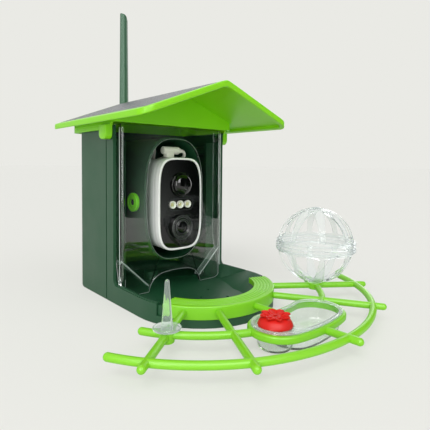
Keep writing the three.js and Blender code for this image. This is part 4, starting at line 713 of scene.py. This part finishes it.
# The collar that drops over the housing: a wall round the plan whose foot is higher across the gable, and whose head
# follows the roof's underside.
def collarSkin():
    c = collar
    bow, innerBow = c["corner"], c["corner"] - c["wall"]
    outer = roundedPlan(c["inside"] + c["wall"], c["front"], c["rear"] + c["wall"], bow, bow)
    inner = roundedPlan(c["inside"], c["front"] + c["wall"], c["rear"], innerBow, innerBow)
    atGable = 1 / (1 + np.exp(np.clip((outer[:, 1] - c["step"]) * c["steepness"], -90, 90)))
    foot = c["bottom"] + (c["gableBottom"] - c["bottom"]) * atGable
    head = roofHeight(outer[:, 0]) - roof["sheet"] + 0.6
    rows = [np.concatenate([line, z[:, None]], 1) for line, z in (
        (outer, head), (outer, foot + 0.6), (outer * 0.9965 + inner * 0.0035, foot + 0.18), ((outer + inner) / 2, foot),
        (inner, foot + 0.4), (inner, head))]
    return patch(np.stack(rows), "ring")


# A pivot ear: a U outline in y and z carried outwards, where its last rings shrink towards the middle.
def lugSkin(side):
    y0, y1, z0, z1, bow = lug["y0"], lug["y1"], lug["bottom"], lug["top"], lug["radius"] * 1.5
    outline = roundCorners([[y0, z1], [y0, z0], [y1, z0], [y1, z1]], [0, bow, bow, 0], 10)
    near = collar["inside"]
    far = near + collar["wall"] + lug["proud"]
    middle = np.array([(y0 + y1) / 2, z1 - 2])
    rows = [np.insert(middle + (outline - middle) * share, 0, side * x, axis=1)
            for x, share in ((near, 1.0), (far - 1.0, 1.0), (far - 0.3, 0.955), (far, 0.87))]
    return patch(np.stack(rows), "bar")


addPiece("roofShell", "roof", roofAbs, [roofSkin(), collarSkin(), lugSkin(-1), lugSkin(1)], "roof_shell", 34)
roundedCopy("solar_panel", "solarPanel", "roof", panelFinish, 0.3)
print("roof made")

# Perch web.
web = {"centre": [0.0, -48.0], "turn": 1.5, "rod": 2.9, "height": 13.1, "start": 72.3, "reach": 165.4, "inner": 114.5,
       "outer": 157.0, "angles": [-53.2, -29.5, 0.0, 29.5, 53.2], "innerEnd": 63.0, "outerLeft": 62.8,
       "outerRight": 65.0, "loopNear": 95, "loopFar": 137}
ring = {"inner": 51.5, "outer": 70.5, "wallInner": 68.2, "top": 18.3, "bottom": 7.1, "foot": 12.6, "plate": 2.7,
        "end": 68.0, "ridges": 5, "firstRidge": 2.4, "lastRidge": 1.6, "ridgeShares": (0, 0.55, 0.72, 0.85),
        "groove": 0.6, "lip": 1.8}
cupPlace = {"radius": 117.5, "spread": 12.0, "left": 5.0, "half": 18.9, "sheet": 1.3, "bottom": 0.8, "rimHalf": 20.9,
            "rimBottom": 16.7, "top": 18.2}
well = {"angle": -14.0, "reach": 118.5, "radius": 13.0, "sheet": 1.3, "collar": 0.8, "top": 16.4, "hole": 13.3,
        "deckReach": 22.8, "deck": [16.75, 17.65], "deckEdge": 0.15}


# From the web's own angle and radius to the row frame: straight ahead is angle 0, and the web is turned on the rim.
def onWeb(angle, radius, height):
    a, r, h = np.broadcast_arrays(np.radians(np.asarray(angle, float) + web["turn"]), radius, height)
    return np.stack([web["centre"][0] + r * np.sin(a), web["centre"][1] - r * np.cos(a), h], -1)


# The ring: a closed section of (radius, height) with ridges on top, swept from -end to end.
def perchRing():
    r = ring
    first, lip = r["outer"] - r["firstRidge"], r["inner"] + r["lip"]
    pitch = (first - r["inner"] - r["lastRidge"]) / r["ridges"]
    start = first - pitch * np.arange(r["ridges"])
    low, under = r["top"] - r["groove"], r["top"] - r["plate"]
    crest = np.stack([np.stack([start - pitch * k for k in r["ridgeShares"]], 1),
                      np.tile([r["top"], r["top"], low, low], (r["ridges"], 1))], -1)
    section = np.concatenate([
        [[r["wallInner"], r["bottom"]], [r["outer"], r["bottom"]], [r["outer"], r["top"] - 0.2]], crest.reshape(-1, 2),
        [[r["inner"], r["top"]], [r["inner"], r["foot"]], [lip, r["foot"]], [lip, under], [r["wallInner"], under]]])
    radii = np.full(len(section), 0.35)
    radii[2] = 1.4
    section = roundCorners(section, radii, 4, closed=True)
    angles = np.linspace(-r["end"], r["end"], 120)
    return patch(onWeb(angles[:, None], section[None, :, 0], section[None, :, 1]), "bar")


# A round rod straight out at one angle, or along an arc at one radius.
def webBar(angle, radius, roundEnds=(True, True)):
    return barAlong(onWeb(angle, radius, web["height"]), web["rod"], 20, roundEnds)


# The bean outline: an arc of the web's circle with a half circle at each end, set out all round by the profile's first
# value and lifted to its second.
def beanSkin(profile, left=None):
    prof = np.asarray(profile, float)
    last = cupPlace["spread"]
    first = -(left or last)
    sweep, capTurn = np.linspace(first, last, 40), np.linspace(0, 180, 30)[1:-1]
    skeletonAngle = np.concatenate([sweep, np.full(28, last), sweep[::-1], np.full(28, first)])
    facing = np.concatenate([sweep, last + capTurn, sweep[::-1] + 180, first + 180 + capTurn])
    out = np.radians(facing + web["turn"])
    normal = np.stack([np.sin(out), -np.cos(out), np.zeros_like(out)], -1)
    grid = onWeb(skeletonAngle, cupPlace["radius"], 0.0)[None] + prof[:, None, :1] * normal[None]
    grid[..., 2] = prof[:, 1:]
    return grid


loopLine = roundCorners([[19.5, 11], [23.2, 11], [23.2, 16.4], [19.5, 16.4]], [0.4, 1.9, 1.9, 0.4], 8, closed=True)
ballBoss = roundCorners([[0, 9.8], [6.6, 9.8], [7.4, 16.2], [5.3, 16.2], [5.3, 12.2], [0, 12.2]],
                        [0, 1, 1, 0.4, 0.2, 0])
spikeBoss = roundCorners([[0, 7.5], [5.4, 7.5], [6.2, 16.1], [3.0, 16.1], [3.0, 9], [0, 9]], [0, 1, 0.8, 0.4, 0.2, 0])
ballSpot, spikeSpot = (onWeb(web["angles"][index], web["inner"], 0.0) for index in (4, 0))
loopEnd = cupPlace["spread"] + 10.5
webParts = [perchRing()]
for angle in web["angles"]:
    if angle:
        webParts.append(webBar(angle, np.linspace(web["start"], web["reach"], 40)))
    else:  # the middle rod stops at the loop's two sides, so that the cup hangs free between them
        webParts += [webBar(0.0, np.linspace(web["start"], web["loopNear"], 16), (True, False)),
                     webBar(0.0, np.linspace(web["loopFar"], web["reach"], 16), (False, True))]
webParts += [webBar(np.linspace(-web["outerLeft"], web["outerRight"], 90), web["outer"]),
             webBar(np.linspace(-web["innerEnd"], -loopEnd, 90), web["inner"], (True, False)),
             webBar(np.linspace(loopEnd, web["innerEnd"], 90), web["inner"], (False, True)),
             patch(beanSkin(loopLine), "ring"), turned(ballBoss, ballSpot, sides=48),
             turned(spikeBoss, spikeSpot, sides=48)]
addPiece("perchWeb", "perch", limeAbs, webParts, "perch_web", 40)
print("perch web made")

# Cup, flower and spike.
half, sheet, bottom = cupPlace["half"], cupPlace["sheet"], cupPlace["bottom"]
rimBottom, rimHalf, rimTop, floorZ = cupPlace["rimBottom"], cupPlace["rimHalf"], cupPlace["top"], bottom + sheet
trayLine = roundCorners([[half - 8, bottom], [half - 1.2, bottom], [half, rimBottom + 0.6],
                         [half - sheet, rimBottom + 0.6], [half - 1.2 - sheet, floorZ], [half - 8, floorZ]],
                        [0, 4.2, 0.2, 0.2, 3.0, 0], 9)
rimLine = roundCorners([[half - 1.0, rimBottom], [rimHalf, rimBottom], [rimHalf, rimTop], [half - 1.0, rimTop]],
                       [0.3, 0.6, 0.6, 0.4], 6, closed=True)
wellSpot = onWeb(well["angle"], well["reach"], 0.0)
r, out, inside = well["radius"], well["radius"] + well["collar"], well["radius"] - well["sheet"]
wellLine = roundCorners([
    [0, bottom], [r, bottom], [r, well["top"] - 2], [out, 14.9], [out, 17.2], [well["hole"], 17.2],
    [well["hole"], well["top"]], [inside, well["top"]], [inside, bottom + well["sheet"]], [0, bottom + well["sheet"]]],
    [0, 4.0, 0.3, 0.3, 0.3, 0.3, 0.2, 0.4, 3.0, 0], 9)


# The deck over the well: between the hole round the flower and the rim, P = hole (1 - s) + rim s, on both faces.
def wellDeck():
    rim = beanSkin([[half - 0.6, 0.0]])[0]
    offset = rim - wellSpot
    angle = np.unwrap(np.arctan2(offset[:, 1], offset[:, 0]))
    hole = wellSpot + np.stack([np.cos(angle), np.sin(angle), 0 * angle], -1) * well["hole"]
    keep = np.linalg.norm(offset[:, :2], axis=1) < well["deckReach"]
    keep, hole, rim = (np.roll(values, -int(np.argmax(~keep)), axis=0) for values in (keep, hole, rim))
    hole, rim = hole[keep], rim[keep]
    (low, high), edge = well["deck"], well["deckEdge"]
    levels = [(0.02, low), (0.0, low + edge), (0.0, high - edge), (0.02, high), (1.0, high), (1.0, low)]
    rows = [np.insert((hole * (1 - s) + rim * s)[:, :2], 2, z, axis=1) for s, z in levels]
    return patch(np.stack(rows), "belt")


addPiece("nectarCup", "cup", cupAcrylic, [patch(beanSkin(trayLine, cupPlace["left"]), "bar"),
                                          turned(wellLine, wellSpot, sides=72), wellDeck()], "nectar_cup")
addPiece("nectarCupRim", "cup", rimAcrylic, [patch(beanSkin(rimLine), "ring")])

flower = {"seat": 16.7, "petals": 8, "turn": 0.3, "root": [1.6, 6.5], "long": 10.6, "wide": 4.1, "steep": 11,
          "curl": 1.3, "cupping": 1.1, "thick": 1.4}
seat = flower["seat"]
domeShape = roundCorners([[1.6, seat], [12.7, seat], [13.0, seat + 1.4], [12.3, seat + 3.4], [10.9, seat + 5.6],
                          [8.4, seat + 7.1], [1.6, seat + 7.4]], [0, 0.8, 1.2, 2.0, 2.0, 2.0, 0], 8)
bud = roundCorners([[1.6, seat + 6], [3.6, seat + 6], [3.2, seat + 7.5], [2.2, seat + 7.6], [1.6, seat + 7.3]], 0.5, 4,
                   True)


# A petal: half width a sine over its length, z rising as length^curl and cupped across as w^2, thinner towards the tip.
def petal(turn):
    f = flower
    a, steep = math.radians(turn), math.radians(f["steep"])
    u, w = np.linspace(0, 1, 20)[:, None], np.linspace(-1, 1, 13)[None, :]
    y = f["wide"] * np.sin(np.pi * np.clip(0.16 + 0.84 * u, 0, 1)) ** 0.72 * (0.7 + 0.3 * u) * w
    x = f["root"][0] + f["long"] * u * math.cos(steep) - 0.5 * np.abs(w) ** 2 * u
    z = seat + f["root"][1] + f["long"] * math.sin(steep) * u ** f["curl"]
    z = z + f["cupping"] * w**2 * np.sin(np.pi * u) ** 0.5
    top = np.stack(np.broadcast_arrays(x, y, z), -1)
    under = top - np.array([0, 0, f["thick"]]) * (1 - u / 2)[..., None]
    loop = np.concatenate([top, under[:, ::-1]], axis=1)
    spin = np.array([[math.cos(a), math.sin(a), 0], [-math.sin(a), math.cos(a), 0], [0, 0, 1]])
    return patch(loop @ spin + wellSpot, "bar")


addPiece("flowerCap", "flower", redAbs, [
    turned(domeShape, wellSpot, kind="ring"), turned(bud, wellSpot, sides=40, kind="ring"),
    *[petal(360 * (i + flower["turn"]) / flower["petals"]) for i in range(flower["petals"])]], "flower_cap", 50)

spike = {"seat": 16.4, "base": 4.9, "taper": 0.7, "flute": 0.2, "flutes": 4, "tip": 52.6, "stub": 2.6, "foot": 11,
         "rise": 0.6, "bluntFrom": 0.94,
         "depth": [[0, 0.6], [0.1, 1], [0.7, 1], [0.95, 0.2], [1, 0]]}  # the flutes' depth along the height


# The horn: r(t, h) = R(h) (1 - depth(h) (1 - cos(flutes t)) / 2), closing to a blunt tip.
def spikeHorn():
    full, end = spike["bluntFrom"], 1 - spike["bluntFrom"]
    h = np.concatenate([np.linspace(0, full, 40), full + end * np.sin(np.radians(np.linspace(8, 90, 10)))])
    t = 2 * np.pi * np.arange(64) / 64
    blunt = np.sqrt(np.clip(1 - np.clip((h - full) / end, 0, 1) ** 2, 0, 1))
    radius = spike["base"] * (1 - spike["taper"] * h) * blunt
    depth = spike["flute"] * np.interp(h, *np.transpose(spike["depth"]))
    r = radius[:, None] * (1 - depth[:, None] * (0.5 - 0.5 * np.cos(spike["flutes"] * t)))
    low = spike["seat"] + spike["rise"]
    z = low + (spike["tip"] - low) * h[:, None] + 0 * t
    return patch(np.stack([r * np.cos(t), r * np.sin(t), z], -1) + spikeSpot, "cup")


seat, stub, foot = spike["seat"], spike["stub"], spike["foot"]
dishLine = roundCorners([[0, foot], [stub, foot], [stub, seat], [5, seat], [10.2, seat + 0.5], [10.4, seat + 2.1],
                         [9.4, seat + 2.1], [8.6, seat + 1.4], [0, seat + 1.2]],
                        [0, 0.3, 0.3, 0.5, 0.8, 0.4, 0.4, 1, 0], 5)
addPiece("fruitSpike", "spike", spikeAcrylic, [turned(dishLine, spikeSpot), spikeHorn()], "fruit_spike", 50)
print("cup, flower and spike made")

# Suet ball.
ball = {"z": 54.4, "radius": 37.2, "sheet": 1.8, "ribs": 8, "rib": 5.0, "band": 39.0, "bandHeight": 4.6,
        "ribStart": 3.0, "slotFoot": 6.0, "slotTop": 0.925, "archPower": 2.2, "footShare": 0.06,
        "halfGap": 0.15, "bandSink": 0.2}
ballMiddle = ballSpot + [0, 0, ball["z"]]


# A half ball's ribs, each between two slots: the angle about the axis is w(h) u, and h climbs from slot foot to pole.
def ballRibs(sign):
    b = ball
    footTurn, topTurn = math.asin(b["slotFoot"] / b["radius"]), math.asin(b["slotTop"])
    climb = np.concatenate([np.linspace(math.asin(b["ribStart"] / b["radius"]), footTurn, 3)[:-1],
                            np.linspace(footTurn, topTurn, 34), np.linspace(topTurn, np.pi / 2, 8)[1:]])
    share = np.clip((climb - footTurn) / (topTurn - footTurn), 0, 1)
    full = np.pi / b["ribs"]
    ribHalf = np.clip(b["rib"] / 2 / np.maximum(b["radius"] * np.cos(climb), 1e-6), 0, full)
    arch = np.sqrt(np.clip(1 - share ** b["archPower"], 0, 1))
    foot = np.sqrt(np.clip(1 - (1 - np.clip(share / b["footShare"], 0, 1)) ** 2, 0, 1))
    half = full - np.where((climb > footTurn) & (climb < topTurn), (full - ribHalf) * arch * foot, 0)
    centre = 2 * full * np.arange(b["ribs"])[:, None, None]
    angle = centre + half[None, None, :] * np.linspace(-1, 1, 9)[None, :, None]
    level = np.cos(climb)
    unit = np.stack(np.broadcast_arrays(level * np.cos(angle), level * np.sin(angle), np.sin(climb)), -1)
    loop = np.concatenate([unit * b["radius"], (unit * (b["radius"] - b["sheet"]))[:, ::-1]], axis=1)
    return [patch(rib.transpose(1, 0, 2) * [1, 1, sign] + ballMiddle, "cup") for rib in loop]


# The band at the equator: a rounded rectangle turned round the ball's axis, above or below the middle.
def ballBand(sign):
    inner, outer = ball["radius"] - ball["sheet"] - ball["bandSink"], ball["band"]
    gap, top = ball["halfGap"], ball["bandHeight"]
    section = roundCorners([[inner, gap], [outer, gap], [outer, top], [inner, top]], 0.6, 4, closed=True)
    return turned(section * [1, sign], ballMiddle, sides=96, kind="ring")


upperKnob = roundCorners([[0, 36.4], [4.6, 36.4], [3.8, 37.6], [0, 37.7]], [0, 0.3, 0.7, 0])
lowerFoot = roundCorners([[0, 12.6], [5, 12.6], [5, 16.5], [6.6, 16.5], [7.4, 18.2], [0, 18.2]],
                         [0, 0.5, 0.2, 0.3, 0.3, 0])
addPiece("ballUpper", "ball_top", clearAcrylic, [*ballRibs(1), ballBand(1), turned(upperKnob, ballMiddle, sides=32)],
         "ball_upper", 40)
addPiece("ballLower", "ball_bottom", clearAcrylic, [*ballRibs(-1), ballBand(-1), turned(lowerFoot, ballSpot, sides=32)],
         "ball_lower", 40)
print("ball made")

# Antenna, and the CAD solids that stay, each with its own finish.
roundedCopy("antenna_blade", "antennaBlade", "antenna", antennaAbs, 0.6, 3)
roundedCopy("antenna_knuckle", "antennaKnuckle", "antenna_base", antennaAbs, 0.6, 3)
circuitBoard = mouldedPlastic("circuitBoard", "#1F5B34", 0.35, 0.2)
stayingSolids = [
    (blackRubber, "lead_grommet panel_junction"), (brassPlate, "base_insert antenna_socket antenna_sleeve"),
    (zincSteel, "antenna_pin roof_pin_left roof_pin_right motion_sensor battery_cell_1 battery_cell_2"),
    (zincSteel, " ".join(f"{kind}_screw_{i}" for kind in ("shell", "pod") for i in range(1, 5))),
    (blackSatin, "image_sensor"), (circuitBoard, "main_board"), (greenAbs, "led_board")]
for finish, nodes in stayingSolids:
    for node in nodes.split():
        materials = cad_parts[node].data.materials
        materials.clear()
        materials.append(finish)
print("staying solids dressed")

# The photograph's camera.
view = {"place": [-252.1, -353.4, 132.9], "yaw": -40.91, "down": 2.64, "roll": 0.5, "focal": 407.7,
        "centre": [212.0, 184.2], "picture": 430, "sensor": 36.0}
cameraData = bpy.data.cameras.new("photoCamera")
viewCamera = linkObject("photoCamera", cameraData)
cameraData.sensor_width = view["sensor"]
cameraData.lens = view["sensor"] * view["focal"] / view["picture"]
cameraData.shift_x = (view["picture"] / 2 - view["centre"][0]) / view["picture"]
cameraData.shift_y = -(view["picture"] / 2 - view["centre"][1]) / view["picture"]
cameraData.clip_start = 0.01
look = (Matrix.Rotation(math.radians(view["yaw"]), 4, "Z") @ Matrix.Rotation(math.radians(90 - view["down"]), 4, "X")
        @ Matrix.Rotation(math.radians(view["roll"]), 4, "Z"))
viewCamera.matrix_world = Matrix.Translation(Vector(view["place"]) * mm) @ look
bpy.context.scene.camera = viewCamera

# Floor and light. Sun azimuths are measured from straight ahead towards the right, heights above level.
studio = {"backdrop": "#EAEAE5", "paper": "#E7E7E2", "floorGlow": 0.6, "worldLight": 0.55,
          "floorHalf": 30, "floorBelow": 0.4 * mm,
          "suns": {"keyLamp": (1.5, -62, 48, 40), "fillLamp": (0.5, 25, 35, 60)},  # strength, azimuth, height, spread
          "bounce": {"power": 4.6, "size": 0.9, "centre": (-0.62, -0.6, 0.01), "aim": (0.0, -0.02, 0.17)}}
bpy.context.scene.view_settings.view_transform = "Standard"
world = bpy.data.worlds.new("paleStudio")
bpy.context.scene.world = world
world.use_nodes = True
tree = world.node_tree
tree.nodes.clear()
path = addNode(tree, "LightPath").outputs
seen = addNode(tree, "Math", {"operation": "MAXIMUM", 0: path["Is Camera Ray"], 1: path["Is Glossy Ray"]})
seen = addNode(tree, "Math", {"operation": "MAXIMUM", 0: seen, 1: path["Is Transmission Ray"]})
lit = addNode(tree, "Background", {"Color": (1, 1, 1, 1), "Strength": studio["worldLight"]})
shown = addNode(tree, "Background", {"Color": colour(studio["backdrop"]), "Strength": 1.0})
addNode(tree, "OutputWorld", {"Surface": addNode(tree, "MixShader", {0: seen, 1: lit, 2: shown})})


# A lamp that shines from the direction it is given: its own -Z turns away from there.
def addLamp(name, kind, toward, settings):
    lamp = bpy.data.lights.new(name, kind)
    for key, value in settings.items():
        setattr(lamp, key, value)
    holder = linkObject(name, lamp)
    holder.rotation_euler = toward.to_track_quat("Z", "Y").to_euler()
    return holder


for name, (strength, azimuth, height, spread) in studio["suns"].items():
    a, e = math.radians(azimuth), math.radians(height)
    toward = Vector((math.sin(a) * math.cos(e), -math.cos(a) * math.cos(e), math.sin(e)))
    addLamp(name, "SUN", toward, {"energy": strength, "angle": math.radians(spread)})
bounce = studio["bounce"]  # the pale table's glow, unseen itself
table = addLamp("tableBounce", "AREA", Vector(bounce["centre"]) - Vector(bounce["aim"]),
                {"energy": bounce["power"], "size": bounce["size"]})
table.location = bounce["centre"]
table.visible_camera = table.visible_glossy = table.visible_transmission = False


# One for a camera ray, or for a ray that has passed clear sheets without bouncing: transmission x (bounces < 1).
def plainSight(tree):
    path = addNode(tree, "LightPath").outputs
    straight = addNode(tree, "Math", {"operation": "LESS_THAN", 0: path["Glossy Depth"], 1: 0.5})
    passed = addNode(tree, "Math", {"operation": "MULTIPLY", 0: path["Is Transmission Ray"], 1: straight})
    return addNode(tree, "Math", {"operation": "MAXIMUM", 0: path["Is Camera Ray"], 1: passed})


# The window mirrors a glow over the pale table, left of the camera: the mirrored eye's place and the glow's bearing.
mirroredEye = {"x": -0.252, "y": 0.343, "middle": math.radians(33.2), "spread": math.radians(2.6), "fall": 0.085,
               "power": 1.5}


# Brightest at one bearing from the mirrored eye, and fading upwards:
# power x exp(-((bearing - middle) / spread)^2) x exp(-z / fall).
def mirroredGlow(tree):
    eye = mirroredEye
    place = addNode(tree, "SeparateXYZ", {"Vector": addNode(tree, "NewGeometry").outputs["Position"]}).outputs
    sums = {"sideways": ("SUBTRACT", place["X"], eye["x"]), "forwards": ("SUBTRACT", eye["y"], place["Y"]),
            "bearing": ("ARCTAN2", "sideways", "forwards"), "off": ("SUBTRACT", "bearing", eye["middle"]),
            "share": ("DIVIDE", "off", eye["spread"]), "square": ("MULTIPLY", "share", "share"),
            "below": ("MULTIPLY", "square", -1.0), "across": ("EXPONENT", "below", 0.0),
            "height": ("MULTIPLY", place["Z"], -1.0 / eye["fall"]), "upwards": ("EXPONENT", "height", 0.0),
            "both": ("MULTIPLY", "across", "upwards"), "glow": ("MULTIPLY", "both", eye["power"])}
    made = {}
    for name, (operation, *values) in sums.items():
        first, second = (made[value] if isinstance(value, str) else value for value in values)
        made[name] = addNode(tree, "Math", {"operation": operation, 0: first, 1: second})
    return made["glow"]


# Flat cards seen only in reflections: place, width, height, colour and strength. The first is dark, and the window
# mirrors it.
cards = {"darkFlag": [(0.34, -0.39, 0.41), 1.2, 0.8, "#1A211D", 1.0],
         "softBox": [(-0.31, -0.95, 0.81), 0.5, 0.8, "#FFFFFF", 7.0],
         "leftStrip": [(-1.0, -0.6, 0.35), 0.14, 0.9, "#FFFFFF", 10.0],
         "rightStrip": [(1.0, 0.24, 0.25), 0.3, 0.7, "#FFFFFF", 3.0],
         "backCard": [(0.55, 0.75, 1.1), 1.4, 0.9, "#FFFFFF", 1.6]}


# One quad in the studio, which isn't part of the feeder.
def stageCard(name, corners, material):
    mesh = bpy.data.meshes.new(name)
    mesh.from_pydata(corners, [], [(0, 1, 2, 3)])
    mesh.materials.append(material)
    card = linkObject(name, mesh)
    return card


# A standing card centred on a place and facing the feeder: four corners from two directions.
for name, (centre, width, height, hexText, strength) in cards.items():
    along = Vector((-centre[1], centre[0], 0)).normalized() * (width / 2)
    middle, up = Vector(centre), Vector((0, 0, height / 2))
    material, tree, _ = startMaterial(name)
    glow = addNode(tree, "Emission", {"Color": colour(hexText), "Strength": strength})
    if name == "darkFlag":
        haze = addNode(tree, "Emission", {"Color": colour("#E4EAE4"), "Strength": mirroredGlow(tree)})
        glow = addNode(tree, "AddShader", {0: glow, 1: haze})
    clear = addNode(tree, "BsdfTransparent")
    closeMaterial(material, addNode(tree, "MixShader", {0: plainSight(tree), 1: glow, 2: clear}))
    corners = [middle + along * across + up * rise for across, rise in ((-1, -1), (1, -1), (1, 1), (-1, 1))]
    card = stageCard(name, corners, material)
    card.visible_camera = card.visible_diffuse = card.visible_shadow = False

paper, tree, _ = startMaterial("palePaper")
dull = addNode(tree, "BsdfDiffuse", {"Color": colour(studio["paper"])})
glow = addNode(tree, "Emission", {"Color": colour(studio["backdrop"])})
share = addNode(tree, "Math", {"operation": "MULTIPLY", 0: plainSight(tree), 1: studio["floorGlow"]})
closeMaterial(paper, addNode(tree, "MixShader", {0: share, 1: dull, 2: glow}))
half = studio["floorHalf"]
floor = stageCard("floor", [(-half, -half, 0), (half, -half, 0), (half, half, 0), (-half, half, 0)], paper)
floor.location.z = -studio["floorBelow"]
print("studio made")
